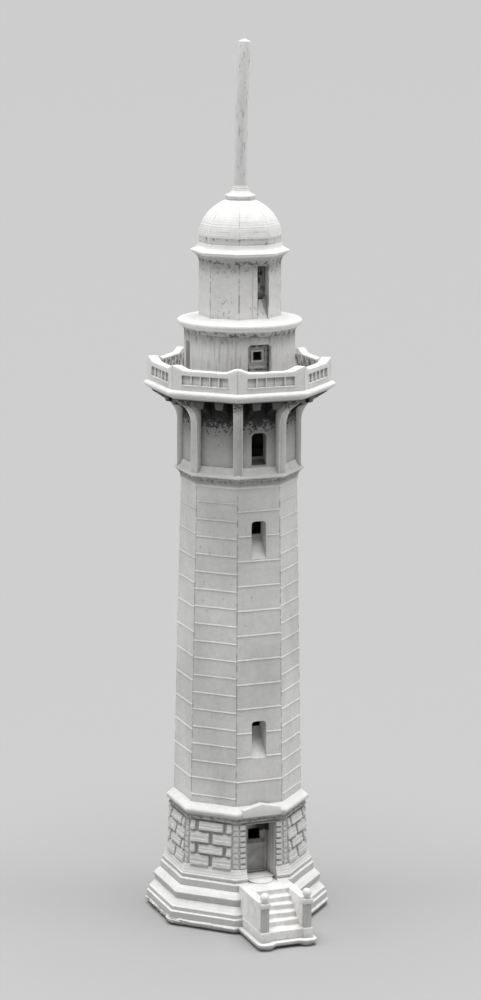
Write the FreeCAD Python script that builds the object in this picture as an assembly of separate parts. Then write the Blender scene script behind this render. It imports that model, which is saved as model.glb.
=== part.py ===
import FreeCAD, Part

import math
import os

from FreeCAD import Vector

# Octagonal landmark tower, a desk-top souvenir of stacked resin castings.
# The origin is on the tower's axis in the plane it stands on. +Z is up and the entrance
# faces -Y. Flat sides face 0, 45, 90 ... degrees, so the corners are at 22.5, 67.5 ...
# An apothem is the distance from the axis to a flat side. All sizes are in millimetres.

# ---------------------------------------------------------------- driving dimensions

SIDES = 8
SIDE_STEP = 360 / SIDES
HALF_SIDE = SIDE_STEP / 2
CORNER_RATIO = 1 / math.cos(math.radians(HALF_SIDE))
EDGE_RATIO = math.tan(math.radians(HALF_SIDE))
ENTRANCE_SIDE = -90

# Heights of the seams between the stacked castings
SLAB_TOP = 1.0
STEP_TOP = 3.55
TORUS_TOP = 5.37
PLINTH_TOP = 8.2
GROUND_WALL_TOP = 14.75
SHAFT_BOTTOM = 16.95
SHAFT_TOP = 60.85
BELT_TOP = 63.7
DECK_BOTTOM = 73.05
DECK_TOP = 74.42
DRUM_TOP = 81.2
LANTERN_BOTTOM = 83.1
LANTERN_TOP = 90.6
DOME_BOTTOM = 93.1
DOME_SPRING = 93.5
DOME_BAND_TOP = 94.0
DOME_TOP = 98.77
COLLAR_TOP = 100.65
MAST_SHOULDER = 119.65
TOTAL_HEIGHT = 120.0

# Apothems of the main walls
SLAB_APOTHEM = 11.81
GROUND_WALL_APOTHEM = 8.93
GROUND_WALL_TOP_APOTHEM = 8.66
SHAFT_BOTTOM_APOTHEM = 8.18
SHAFT_TOP_APOTHEM = 7.3
CORBEL_WALL_APOTHEM = 7.3
LANTERN_APOTHEM = 5.1
DOME_APOTHEM = 5.22
DOME_BAND_APOTHEM = 5.12
DOME_RISE = 5.6
DRUM_RADIUS = 7.49

# Hollows and the locating spigots between the castings
PLINTH_BORE = 5.0
MAIN_BORE = 5.85
LANTERN_BORE = 4.0
SPIGOT_WALL = 0.6
SPIGOT_LENGTH = 0.8
SPIGOT_LIP = 0.5
SEAT_GAP = 0.05
GLUE_GAP = 0.02

# Window and wall openings
WALL_THICKNESS = 1.3
WINDOW_HALF_WIDTH = 1.06
WINDOW_HEAD_CHAMFER = 0.4
SHAFT_WINDOW_SILLS = (51.25, 23.6)
SHAFT_WINDOW_HEIGHT = 5.07
SHAFT_SILL_RISE = 1.85
CORBEL_WINDOW_SILL = 63.8
CORBEL_WINDOW_HEIGHT = 4.48
CORBEL_SILL_RISE = 1.1

# Shaft courses: each set-back leaves a narrow sloped ledge
AXIS_COURSE_PITCH = 3.4
AXIS_COURSE_TOP = 57.75
DIAGONAL_COURSE_PITCH = 2.4
DIAGONAL_COURSE_TOP = 58.82
LEDGE_HEIGHT = 0.12

# Rusticated ground storey
BLOCK_PROUD = 0.32
BLOCK_JOINT = 0.42
BLOCK_COURSES = ((8.25, 9.75), (10.05, 11.25), (11.55, 12.95), (13.3, 14.48))
BLOCK_FIELD_HALF_WIDTH = 3.12
BLOCK_SIDE_JOINT = 2.08
QUOIN_PITCH = 0.78
QUOIN_HEIGHT = 0.6
QUOIN_FIRST_Z = 8.3
QUOIN_HALF_WIDTH = 0.34
QUOINS_PER_CORNER = 8

# Entrance
DOORWAY_HALF_WIDTH = 2.15
DOORWAY_TOP = 14.5
DOOR_SILL = 6.7
DOOR_FACE_Y = -6.4
DOOR_BAR_HALF = 1.5
DOOR_BAR_PROUD = 0.25
DOOR_BAR_BOTTOM = 6.8
DOOR_BAR_TOP = 7.0
DOOR_THICKNESS = 0.4
DOOR_CLEAR_HALF_WIDTH = 2.02
FRAME_STEPS = 3
FRAME_STEP = 0.08
PANE_HALF_WIDTH = 0.9
PANE_BOTTOM = 11.45
PANE_TOP = 13.0
PEDIMENT_HALF_WIDTH = 2.77
PEDIMENT_FACE_Y = -9.3

# Front stairs
LANDING_TOP = 6.3
STAIR_BACK_Y = -9.5
FLIGHT_HALF_WIDTH = 2.45
FIRST_RISER_Y = -18.3
FIRST_TREAD_Z = 2.3
SECOND_RISER_Y = -16.6
RISER = 0.8
GOING = 0.9
UPPER_RISERS = 5
CHEEK_OUTER_X = 3.64
CHEEK_BAND_X = 3.74
NEWEL_X = 3.06
NEWEL_Y = -18.02
NEWEL_BASE_WIDTH = 1.3
NEWEL_SHAFT_WIDTH = 1.0
NEWEL_CAP_BOTTOM = 5.75
NEWEL_CAP_TOP = 6.4
BALL_RADIUS = 0.64
BALL_CENTRE_Z = 7.15
BALL_PIN_RADIUS = 0.25
APRON_HALF_WIDTH = 4.3
APRON_FRONT_Y = -19.0
APRON_PAD_FRONT_Y = -19.5
APRON_UNDERCUT = 0.5
APRON_FRONT_UNDERCUT = 0.95
THRESHOLD_FRONT_Y = -8.6
DOOR_STEP_TOP = 6.5
DOOR_STEP_HALF_WIDTH = 1.75
DOOR_STEP_REACH = 1.95

# Corner pilasters and brackets below the gallery
PILASTER_WIDTH = 1.27
PILASTER_FACE = 8.43
PILASTER_FOOT_Z = 62.5
COVE_START_Z = 69.3
BRACKET_TOP_WIDTH = 1.35
BRACKET_BOTTOM_WIDTH = 0.95
BRACKET_OFFSET = 1.4
BRACKET_FACE = 10.0
BRACKET_BOTTOM = 71.85
BRACKET_FOOT_Z = 70.2

# Gallery parapet
PARAPET_OUTER = 11.45
PARAPET_INNER = 10.2
RAIL_LOW_Z = 77.05
RAIL_HIGH_Z = 77.62
CORNER_FLAT = 0.05
CORNER_RAMP = 1.3
LIGHTS_HALF_WIDTH = 3.35
LIGHTS_BOTTOM = 75.15
LIGHTS_TOP = 76.4
LIGHTS_DEPTH = 0.3
LIGHTS_PER_PANEL = 5
MULLION_WIDTH = 0.2
SILL_PROUD = 0.12

# Watch room openings
WATCH_DOOR_HALF_WIDTH = 1.68
WATCH_DOOR_TOP = 80.2
WATCH_DOOR_FACE_Y = -6.4
WATCH_PANE_HALF_WIDTH = 0.62
WATCH_PANE_BOTTOM = 78.0
WATCH_PANE_TOP = 79.15
WATCH_WINDOW_HALF_WIDTH = 0.79
WATCH_WINDOW_BOTTOM = 75.6
WATCH_WINDOW_SPRING = 79.45
WATCH_WINDOW_FACE = 6.55
WATCH_WINDOWS = {"left": 180, "back": 90, "right": 0}

# Lantern doorway, beside the right-hand corner of the entrance side
LANTERN_DOOR_LEFT = 0.5
LANTERN_DOOR_RIGHT = 2.05
LANTERN_GROOVE_X = -0.2
LANTERN_GROOVE_WIDTH = 0.14
LANTERN_GROOVE_DEPTH = 0.16
LANTERN_DOOR_TOP = 90.35
LANTERN_RAMP_TOP = 86.3

# Mast, slightly bowed towards the corner at -22.5 degrees
MAST_APOTHEM = 0.776
MAST_BOW_RADIUS = 387.0
MAST_TENON_RADIUS = 0.48
MAST_TENON_LENGTH = 0.9

ORIGIN = Vector(0, 0, 0)
UP = Vector(0, 0, 1)
FAR = 40.0

# ---------------------------------------------------------------- shape helpers


def outline_edges(outline):
    """Edges of an open outline in the XZ plane.

    Each step is a point (x, z), or a pair (middle, end) for an arc through its middle.
    """
    start = Vector(outline[0][0], 0, outline[0][1])
    edges = []
    for step in outline[1:]:
        if isinstance(step[0], tuple):
            middle = Vector(step[0][0], 0, step[0][1])
            end = Vector(step[1][0], 0, step[1][1])
            edges.append(Part.Arc(start, middle, end).toShape())
        else:
            end = Vector(step[0], 0, step[1])
            edges.append(Part.LineSegment(start, end).toShape())
        start = end
    return edges


def closed_face(edges):
    """Flat face inside a closed ring of edges."""
    return Part.Face(Part.Wire(Part.sortEdges(edges)[0]))


def one_solid(shape):
    """The single solid of a boolean result."""
    solids = shape.Solids
    if len(solids) != 1:
        raise ValueError("expected one solid, found %d" % len(solids))
    return solids[0]


def turned(shape, angle):
    """Copy of a shape turned about the tower's axis."""
    copy = shape.copy()
    copy.rotate(ORIGIN, UP, angle)
    return copy


def slab_from_edges(edges):
    """Long prism along Y whose section is a half outline and its mirror image."""
    mirrored = [edge.mirror(ORIGIN, Vector(1, 0, 0)) for edge in edges]
    slab = closed_face(edges + mirrored).extrude(Vector(0, 2 * FAR, 0))
    slab.translate(Vector(0, -FAR, 0))
    return slab


def octagon_from_edges(axis_edges, diagonal_edges=None):
    """Octagonal body: the common part of four crossing prisms."""
    axis_slab = slab_from_edges(axis_edges)
    diagonal_slab = slab_from_edges(diagonal_edges or axis_edges)
    body = axis_slab.common(turned(axis_slab, 90))
    body = body.common(turned(diagonal_slab, 45))
    body = body.common(turned(diagonal_slab, 135))
    return one_solid(body)


def octagon_body(outline):
    """Octagonal body from an outline that starts and ends on the axis."""
    return octagon_from_edges(outline_edges(outline))


def round_body(outline):
    """Turned body from an outline that starts and ends on the axis."""
    first = Vector(outline[0][0], 0, outline[0][1])
    last = Vector(outline[-1][0], 0, outline[-1][1])
    edges = outline_edges(outline) + [Part.LineSegment(last, first).toShape()]
    return one_solid(closed_face(edges).revolve(ORIGIN, UP, 360))


def box(x_low, x_high, y_low, y_high, z_low, z_high):
    """Box between two corners."""
    size = (x_high - x_low, y_high - y_low, z_high - z_low)
    return Part.makeBox(*size, Vector(x_low, y_low, z_low))


def cylinder(radius, z_low, z_high, x=0, y=0):
    """Upright cylinder."""
    return Part.makeCylinder(radius, z_high - z_low, Vector(x, y, z_low))


def spigot(bore, seam_z):
    """Locating ring that hangs below a seam, inside the bore of the casting beneath."""
    outer = bore - SEAT_GAP
    ring = cylinder(outer, seam_z - SPIGOT_LENGTH, seam_z)
    return ring.cut(cylinder(outer - SPIGOT_WALL, seam_z - SPIGOT_LENGTH, seam_z))


def hollow_section(body, z_low, z_high, bore, spigot_bore):
    """Bored casting with an inner lip and a locating spigot at its lower seam."""
    throat = min(bore, spigot_bore - SEAT_GAP - SPIGOT_WALL)
    body = body.cut(cylinder(bore, z_low + SPIGOT_LIP, z_high))
    body = body.cut(cylinder(throat, z_low, z_low + SPIGOT_LIP))
    return one_solid(body.fuse(spigot(spigot_bore, z_low)).removeSplitter())


def plate_xz(points, y_low, y_high):
    """Plate with a straight-sided outline in XZ and its thickness along Y."""
    corners = [Vector(x, y_low, z) for x, z in points]
    face = Part.Face(Part.makePolygon(corners + corners[:1]))
    return face.extrude(Vector(0, y_high - y_low, 0))


def plate_yz(points, x_low, x_high):
    """Plate with a straight-sided outline in YZ and its thickness along X."""
    corners = [Vector(x_low, y, z) for y, z in points]
    face = Part.Face(Part.makePolygon(corners + corners[:1]))
    return face.extrude(Vector(x_high - x_low, 0, 0))


def radial_rib(outline, width):
    """Rib with an outline in (radius, z), centred on +X."""
    start = Vector(outline[0][0], 0, outline[0][1])
    last = outline[-1][-1] if isinstance(outline[-1][0], tuple) else outline[-1]
    end = Vector(last[0], 0, last[1])
    edges = outline_edges(outline) + [Part.LineSegment(end, start).toShape()]
    rib = closed_face(edges).extrude(Vector(0, width, 0))
    rib.translate(Vector(0, -width / 2, 0))
    return rib


def side_sector(gap):
    """Wedge that holds one side of the octagon, centred on +X, less a glue gap."""
    shift = gap / math.sin(math.radians(HALF_SIDE))
    far_y = (FAR - shift) * EDGE_RATIO
    corners = [Vector(shift, 0, 0), Vector(FAR, far_y, 0), Vector(FAR, -far_y, 0)]
    return Part.Face(Part.makePolygon(corners + corners[:1])).extrude(UP * TOTAL_HEIGHT)


def save(name, shape):
    """Write one named piece, after checking that it is sound."""
    if not shape.isValid():
        raise ValueError("%s is not a valid solid" % name)
    shape.exportStep("parts/%s.step" % name)
    print("%-24s solids %3d  volume %9.3f" % (name, len(shape.Solids), shape.Volume))


# ---------------------------------------------------------------- base and plinth


def base_slab():
    """Foot slab with an undercut edge and an apron under the stairs."""
    slab = octagon_body([
        (0, 0), (11.1, 0), (11.6, 0.3), (SLAB_APOTHEM, 0.72), (SLAB_APOTHEM, SLAB_TOP),
        (0, SLAB_TOP)])
    return one_solid(slab.fuse(stair_apron()).removeSplitter())


def apron_wire(inset, front_inset, z):
    """Plan outline of the apron, with a pad under each newel post."""
    side = APRON_HALF_WIDTH - inset
    front = APRON_FRONT_Y + front_inset
    pad = APRON_PAD_FRONT_Y + inset
    corner = 0.55
    pad_inner = 2.15
    half = [(side, -8.0), (side, pad + corner), (side - corner, pad), (pad_inner + 0.2, pad),
            (pad_inner - 0.4, front)]
    mirrored = [(-x, y) for x, y in reversed(half)]
    corners = [Vector(x, y, z) for x, y in half + mirrored]
    return Part.makePolygon(corners + corners[:1])


def stair_apron():
    """Slab under the stairs, undercut like the rest of the base."""
    foot = apron_wire(APRON_UNDERCUT, APRON_FRONT_UNDERCUT, 0)
    undercut = Part.makeLoft([foot, apron_wire(0, 0, 0.6)], True, True)
    rim = Part.Face(apron_wire(0, 0, 0.6)).extrude(UP * (SLAB_TOP - 0.6))
    return undercut.fuse(rim)


def stair_notch(z_low, z_high):
    """Space in the plinth that the stair pieces fill."""
    return box(-CHEEK_BAND_X, CHEEK_BAND_X, -FAR, STAIR_BACK_Y, z_low, z_high)


def plinth_step():
    """Lowest plinth course: two upright faces and a long weathering."""
    body = octagon_body([
        (0, SLAB_TOP), (11.68, SLAB_TOP), (11.68, 2.0), (11.45, 2.12), (11.4, 2.65),
        ((10.96, 3.02), (10.61, STEP_TOP)), (0, STEP_TOP)])
    body = body.cut(stair_notch(SLAB_TOP, STEP_TOP))
    return one_solid(body.cut(cylinder(PLINTH_BORE, SLAB_TOP, STEP_TOP)))


def plinth_torus():
    """Middle plinth course with a rounded nose."""
    body = octagon_body([
        (0, STEP_TOP), (10.58, STEP_TOP), (10.78, 4.4), ((10.84, 4.52), (10.74, 4.64)),
        ((10.4, 5.08), (9.96, TORUS_TOP)), (0, TORUS_TOP)])
    body = body.cut(stair_notch(STEP_TOP, TORUS_TOP))
    return hollow_section(body, STEP_TOP, TORUS_TOP, PLINTH_BORE, PLINTH_BORE)


def plinth_cap():
    """Top plinth course: fillet, groove and steep weathering, open at the doorway."""
    body = octagon_body([
        (0, TORUS_TOP), (9.96, TORUS_TOP), (9.9, 6.3), (9.72, 6.45), (9.62, 6.62),
        (9.69, 6.94), (9.15, PLINTH_TOP), (0, PLINTH_TOP)])
    body = body.cut(stair_notch(TORUS_TOP, LANDING_TOP))
    doorway = box(-DOORWAY_HALF_WIDTH, DOORWAY_HALF_WIDTH, -FAR, 0, LANDING_TOP, PLINTH_TOP)
    body = body.cut(doorway)
    return hollow_section(body, TORUS_TOP, PLINTH_TOP, PLINTH_BORE, PLINTH_BORE)


# ---------------------------------------------------------------- ground storey


def ground_core(proud, z_low=PLINTH_TOP, z_high=GROUND_WALL_TOP):
    """Battered octagonal body of the ground storey, standing proud by a given amount."""
    return octagon_body([
        (0, z_low), (ground_apothem(z_low) + proud, z_low),
        (ground_apothem(z_high) + proud, z_high), (0, z_high)])


def ground_apothem(z):
    """Apothem of the battered ground-storey wall at a height."""
    batter = (GROUND_WALL_TOP_APOTHEM - GROUND_WALL_APOTHEM) / (GROUND_WALL_TOP - PLINTH_TOP)
    return GROUND_WALL_APOTHEM + batter * (z - PLINTH_TOP)


def ground_wall():
    """Ground-storey wall with its doorway."""
    doorway = box(-DOORWAY_HALF_WIDTH, DOORWAY_HALF_WIDTH, -FAR, 0, PLINTH_TOP, DOORWAY_TOP)
    body = ground_core(0).cut(doorway)
    return hollow_section(body, PLINTH_TOP, GROUND_WALL_TOP, MAIN_BORE, PLINTH_BORE)


def battered_block(y_low, y_high, z_low, z_high):
    """One raised block on the side that faces +X."""
    inner_low = ground_apothem(z_low)
    inner_high = ground_apothem(z_high)
    rib = radial_rib([
        (inner_low, z_low), (inner_low + BLOCK_PROUD, z_low),
        (inner_high + BLOCK_PROUD, z_high), (inner_high, z_high)], y_high - y_low)
    rib.translate(Vector(0, (y_low + y_high) / 2, 0))
    return rib


def side_blocks():
    """Raised blocks of one side: courses of two and three blocks in turn."""
    half_joint = BLOCK_JOINT / 2
    edge = BLOCK_FIELD_HALF_WIDTH
    blocks = []
    for course, (z_low, z_high) in enumerate(BLOCK_COURSES):
        joints = [0] if course % 2 == 0 else [-BLOCK_SIDE_JOINT, BLOCK_SIDE_JOINT]
        starts = [-edge] + [joint + half_joint for joint in joints]
        ends = [joint - half_joint for joint in joints] + [edge]
        for start, end in zip(starts, ends):
            blocks.append(battered_block(start, end, z_low, z_high))
    return blocks


def rustic_blocks():
    """Raised blocks on the seven closed sides."""
    blocks = side_blocks()
    solids = []
    for side in range(SIDES):
        angle = side * SIDE_STEP
        if angle != ENTRANCE_SIDE % 360:
            solids += [turned(block, angle) for block in blocks]
    return Part.makeCompound(solids)


def quoin_levels():
    """Lower heights of the small corner stones."""
    return [QUOIN_FIRST_Z + level * QUOIN_PITCH for level in range(QUOINS_PER_CORNER)]


def corner_quoins():
    """Small corner stones that wrap each corner of the ground storey."""
    shell = ground_core(BLOCK_PROUD).cut(ground_core(0))
    solids = []
    for z_low in quoin_levels():
        window = box(0, FAR, -QUOIN_HALF_WIDTH, QUOIN_HALF_WIDTH, z_low, z_low + QUOIN_HEIGHT)
        stone = one_solid(shell.common(turned(window, HALF_SIDE)))
        solids += [turned(stone, side * SIDE_STEP) for side in range(SIDES)]
    return Part.makeCompound(solids)


def jamb_stones():
    """Small stones between the doorway and the corner stones."""
    inner = DOORWAY_HALF_WIDTH + 0.08
    outer = GROUND_WALL_TOP_APOTHEM * EDGE_RATIO - QUOIN_HALF_WIDTH - 0.1
    solids = []
    for z_low in quoin_levels():
        for low, high in ((inner, outer), (-outer, -inner)):
            stone = battered_block(low, high, z_low, z_low + QUOIN_HEIGHT)
            solids.append(turned(stone, ENTRANCE_SIDE))
    return Part.makeCompound(solids)


def entrance_frame():
    """Door surround, stepping inwards towards the door."""
    frame = box(-DOORWAY_HALF_WIDTH, DOORWAY_HALF_WIDTH, -FAR, DOOR_FACE_Y,
                DOOR_SILL, DOORWAY_TOP)
    depth = (ground_apothem(DOOR_SILL) + DOOR_FACE_Y) / FRAME_STEPS
    for step in range(FRAME_STEPS):
        clear = DOOR_CLEAR_HALF_WIDTH - step * FRAME_STEP
        back = DOOR_FACE_Y - (FRAME_STEPS - 1 - step) * depth
        frame = frame.cut(box(-clear, clear, -FAR, back, DOOR_SILL,
                              DOORWAY_TOP - 0.15 - step * FRAME_STEP))
    return one_solid(frame.common(ground_core(0.03, DOOR_SILL, DOORWAY_TOP)))


def entrance_door():
    """Entrance door leaf with a square light and a sunk lower panel."""
    half = DOORWAY_HALF_WIDTH - SEAT_GAP
    back = DOOR_FACE_Y + DOOR_THICKNESS
    leaf = box(-half, half, DOOR_FACE_Y, back, DOOR_SILL, DOORWAY_TOP)
    leaf = leaf.cut(box(-PANE_HALF_WIDTH, PANE_HALF_WIDTH, DOOR_FACE_Y, back,
                        PANE_BOTTOM, PANE_TOP))
    sunk = 0.15
    leaf = leaf.cut(box(-1.35, 1.35, DOOR_FACE_Y, DOOR_FACE_Y + sunk, 7.3, 10.3))
    bar = box(-DOOR_BAR_HALF, DOOR_BAR_HALF, DOOR_FACE_Y - DOOR_BAR_PROUD, DOOR_FACE_Y + sunk,
              DOOR_BAR_BOTTOM, DOOR_BAR_TOP)
    return one_solid(leaf.fuse(bar).removeSplitter())


def door_step():
    """Door sill, with a half-oval step below it on the landing."""
    half = DOORWAY_HALF_WIDTH
    sill = box(-half, half, THRESHOLD_FRONT_Y, -MAIN_BORE, LANDING_TOP, DOOR_SILL)
    front = THRESHOLD_FRONT_Y
    oval = Part.Ellipse(Vector(0, front - DOOR_STEP_REACH, LANDING_TOP),
                        Vector(DOOR_STEP_HALF_WIDTH, front, LANDING_TOP),
                        Vector(0, front, LANDING_TOP)).toShape()
    step = Part.Face(Part.Wire(oval)).extrude(UP * (DOOR_STEP_TOP - LANDING_TOP))
    step = step.cut(box(-half, half, front, 0, 0, DOORWAY_TOP))
    return one_solid(sill.fuse(step).removeSplitter())


def ground_cornice():
    """Weathered cornice between the ground storey and the shaft."""
    body = octagon_body([
        (0, GROUND_WALL_TOP), (8.86, GROUND_WALL_TOP), (8.86, 15.02), (8.7, 15.08),
        (8.7, 15.26), ((8.86, 15.48), (9.1, 15.6)), ((9.2, 15.88), (9.08, 16.15)),
        (SHAFT_BOTTOM_APOTHEM, SHAFT_BOTTOM), (0, SHAFT_BOTTOM)])
    return hollow_section(body, GROUND_WALL_TOP, SHAFT_BOTTOM, MAIN_BORE, MAIN_BORE)


def pediment(cornice, shaft):
    """Low gable over the entrance, fitted to the cornice and the foot of the shaft."""
    half = PEDIMENT_HALF_WIDTH
    gable = plate_xz([(-half, 15.6), (half, 15.6), (half, 16.63), (0, 17.27), (-half, 16.63)],
                     PEDIMENT_FACE_Y, -SHAFT_BOTTOM_APOTHEM + 0.1)
    return one_solid(gable.cut(cornice).cut(shaft))


# ---------------------------------------------------------------- front stairs


def newel_post(side):
    """Stair newel: base block, shaft and cap, bored for the pin of its ball."""
    x = side * NEWEL_X

    def block(width, z_low, z_high):
        half = width / 2
        return box(x - half, x + half, NEWEL_Y - half, NEWEL_Y + half, z_low, z_high)

    post = block(NEWEL_BASE_WIDTH, SLAB_TOP, FIRST_TREAD_Z)
    post = post.fuse(block(NEWEL_SHAFT_WIDTH, FIRST_TREAD_Z, NEWEL_CAP_BOTTOM))
    post = post.fuse(block(NEWEL_BASE_WIDTH, NEWEL_CAP_BOTTOM, NEWEL_CAP_TOP))
    hole = cylinder(BALL_PIN_RADIUS + GLUE_GAP, NEWEL_CAP_BOTTOM, NEWEL_CAP_TOP, x, NEWEL_Y)
    return one_solid(post.cut(hole))


def newel_ball(side):
    """Ball finial with its locating pin."""
    x = side * NEWEL_X
    ball = Part.makeSphere(BALL_RADIUS, Vector(x, NEWEL_Y, BALL_CENTRE_Z))
    pin = cylinder(BALL_PIN_RADIUS, NEWEL_CAP_BOTTOM, BALL_CENTRE_Z, x, NEWEL_Y)
    neck = cylinder(0.36, NEWEL_CAP_TOP, BALL_CENTRE_Z, x, NEWEL_Y)
    return one_solid(ball.fuse(neck).fuse(pin))


def stair_cheek(side, post):
    """Level-topped cheek wall with a slightly proud base band."""
    wall = box(FLIGHT_HALF_WIDTH, CHEEK_OUTER_X, NEWEL_Y, STAIR_BACK_Y, SLAB_TOP, LANDING_TOP)
    band = box(FLIGHT_HALF_WIDTH, CHEEK_BAND_X, NEWEL_Y, STAIR_BACK_Y, SLAB_TOP, FIRST_TREAD_Z)
    cheek = wall.fuse(band).removeSplitter()
    if side < 0:
        cheek = cheek.mirror(ORIGIN, Vector(1, 0, 0))
    half = NEWEL_BASE_WIDTH / 2
    x = side * NEWEL_X
    bored = cylinder(BALL_PIN_RADIUS + GLUE_GAP, NEWEL_CAP_BOTTOM, LANDING_TOP, x, NEWEL_Y)
    clearance = box(x - half, x + half, NEWEL_Y - half, NEWEL_Y, SLAB_TOP, LANDING_TOP)
    return max(cheek.cut(post).cut(bored).cut(clearance).Solids, key=lambda solid: solid.Volume)


def stair_flight(posts):
    """Solid flight with a deep first tread and a landing at the door."""
    outline = [(STAIR_BACK_Y, SLAB_TOP), (FIRST_RISER_Y, SLAB_TOP),
               (FIRST_RISER_Y, FIRST_TREAD_Z)]
    y = SECOND_RISER_Y
    z = FIRST_TREAD_Z
    for _ in range(UPPER_RISERS):
        outline += [(y, z), (y, z + RISER)]
        y += GOING
        z += RISER
    outline.append((STAIR_BACK_Y, LANDING_TOP))
    flight = plate_yz(outline, -FLIGHT_HALF_WIDTH, FLIGHT_HALF_WIDTH)
    for post in posts:
        flight = flight.cut(post)
    return one_solid(flight)


# ---------------------------------------------------------------- shaft and belt


def shaft_apothem(z):
    """Mean apothem of the tapering shaft at a height."""
    share = (z - SHAFT_BOTTOM) / (SHAFT_TOP - SHAFT_BOTTOM)
    return SHAFT_BOTTOM_APOTHEM + share * (SHAFT_TOP_APOTHEM - SHAFT_BOTTOM_APOTHEM)


def course_outline(top_ledge, pitch):
    """Half outline of the shaft: upright courses set back at sloped ledges."""
    ledges = []
    z = top_ledge
    while z > SHAFT_BOTTOM + pitch / 4:
        ledges.insert(0, z)
        z -= pitch
    outline = [(0, SHAFT_BOTTOM), (SHAFT_BOTTOM_APOTHEM, SHAFT_BOTTOM)]
    apothem = SHAFT_BOTTOM_APOTHEM
    for ledge in ledges:
        outline.append((apothem, ledge - LEDGE_HEIGHT / 2))
        apothem = shaft_apothem(min(ledge + pitch / 2, SHAFT_TOP))
        outline.append((apothem, ledge + LEDGE_HEIGHT / 2))
    return outline + [(apothem, SHAFT_TOP), (0, SHAFT_TOP)]


def window_opening(sill_z, height, sill_rise, face):
    """Opening through a wall that faces -Y: straight jambs, clipped head, sloped sill."""
    half = WINDOW_HALF_WIDTH
    head = sill_z + height
    clip = WINDOW_HEAD_CHAMFER
    opening = plate_xz([
        (-half, sill_z), (half, sill_z), (half, head - clip), (half - clip, head),
        (clip - half, head), (-half, head - clip)], -face - 1.0, -MAIN_BORE + 0.5)
    slope = sill_rise / WALL_THICKNESS
    inner_y = -face + WALL_THICKNESS
    sill = plate_yz([
        (-face, sill_z), (inner_y, sill_z + sill_rise),
        (0, sill_z + sill_rise), (0, sill_z - slope)], -FAR, FAR)
    rebate = box(-half - 0.5, half + 0.5, inner_y, 0, sill_z + sill_rise, head + 0.4)
    return opening.cut(sill).fuse(rebate)


def tower_shaft():
    """Tapering shaft with staggered courses and two windows above the entrance."""
    axis_edges = outline_edges(course_outline(AXIS_COURSE_TOP, AXIS_COURSE_PITCH))
    diagonal_edges = outline_edges(course_outline(DIAGONAL_COURSE_TOP, DIAGONAL_COURSE_PITCH))
    body = octagon_from_edges(axis_edges, diagonal_edges)
    for sill_z in SHAFT_WINDOW_SILLS:
        face = shaft_apothem(sill_z + SHAFT_WINDOW_HEIGHT / 2)
        body = body.cut(window_opening(sill_z, SHAFT_WINDOW_HEIGHT, SHAFT_SILL_RISE, face))
    return hollow_section(body, SHAFT_BOTTOM, SHAFT_TOP, MAIN_BORE, MAIN_BORE)


def belt_body():
    """Solid outline of the belt course under the corbel storey."""
    return octagon_body([
        (0, SHAFT_TOP), (7.42, SHAFT_TOP), (7.42, 61.45), ((7.66, 61.95), (8.08, 62.3)),
        ((8.16, 62.44), (8.09, 62.58)), ((7.58, 62.98), (CORBEL_WALL_APOTHEM, BELT_TOP)),
        (0, BELT_TOP)])


# ---------------------------------------------------------------- corbel storey


def corbel_storey():
    """Recessed wall below the gallery, with a window above the entrance."""
    apothem = CORBEL_WALL_APOTHEM
    body = octagon_body([
        (0, BELT_TOP), (apothem, BELT_TOP), (apothem, DECK_BOTTOM), (0, DECK_BOTTOM)])
    body = body.cut(window_opening(CORBEL_WINDOW_SILL, CORBEL_WINDOW_HEIGHT,
                                   CORBEL_SILL_RISE, apothem))
    return hollow_section(body, BELT_TOP, DECK_BOTTOM, MAIN_BORE, MAIN_BORE)


def corner_pilaster(belt):
    """Flat pilaster on one corner, coved out under the gallery."""
    head = (10.15, 71.95)
    rib = radial_rib([
        (7.0, PILASTER_FOOT_Z), (PILASTER_FACE, PILASTER_FOOT_Z), (PILASTER_FACE, COVE_START_Z),
        ((9.02, 71.0), head), (11.88, DECK_BOTTOM), (7.0, DECK_BOTTOM)], PILASTER_WIDTH)
    wall = octagon_body([
        (0, PILASTER_FOOT_Z), (CORBEL_WALL_APOTHEM, PILASTER_FOOT_Z),
        (CORBEL_WALL_APOTHEM, DECK_BOTTOM), (0, DECK_BOTTOM)])
    return one_solid(turned(rib, HALF_SIDE).cut(wall).cut(belt))


def tapered_guide():
    """Upright wedge, narrower at the bottom, that gives a bracket its slanted cheeks."""
    top = BRACKET_TOP_WIDTH / 2
    bottom = BRACKET_BOTTOM_WIDTH / 2
    corners = [Vector(0, y, z) for y, z in (
        (-bottom, BRACKET_FOOT_Z), (bottom, BRACKET_FOOT_Z), (bottom, BRACKET_BOTTOM),
        (top, DECK_BOTTOM), (-top, DECK_BOTTOM), (-bottom, BRACKET_BOTTOM))]
    return Part.Face(Part.makePolygon(corners + corners[:1])).extrude(Vector(FAR, 0, 0))


def gallery_brackets():
    """Two coved brackets under each side of the gallery."""
    rib = radial_rib([
        (CORBEL_WALL_APOTHEM, BRACKET_FOOT_Z),
        ((8.2, 71.3), (BRACKET_FACE, BRACKET_BOTTOM)),
        (BRACKET_FACE, DECK_BOTTOM), (CORBEL_WALL_APOTHEM, DECK_BOTTOM)], BRACKET_TOP_WIDTH)
    rib = rib.common(tapered_guide())
    solids = []
    for side in range(SIDES):
        for offset in (-BRACKET_OFFSET, BRACKET_OFFSET):
            bracket = rib.copy()
            bracket.translate(Vector(0, offset, 0))
            solids.append(turned(bracket, side * SIDE_STEP))
    return Part.makeCompound(solids)


# ---------------------------------------------------------------- gallery and watch room


def gallery_deck():
    """Gallery floor with a rounded nose and a sloped underside."""
    body = octagon_body([
        (0, DECK_BOTTOM), (11.0, DECK_BOTTOM), (11.88, 73.68), ((12.07, 73.95), (11.92, 74.22)),
        (11.5, DECK_TOP), (0, DECK_TOP)])
    return hollow_section(body, DECK_BOTTOM, DECK_TOP, MAIN_BORE, MAIN_BORE)


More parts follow.
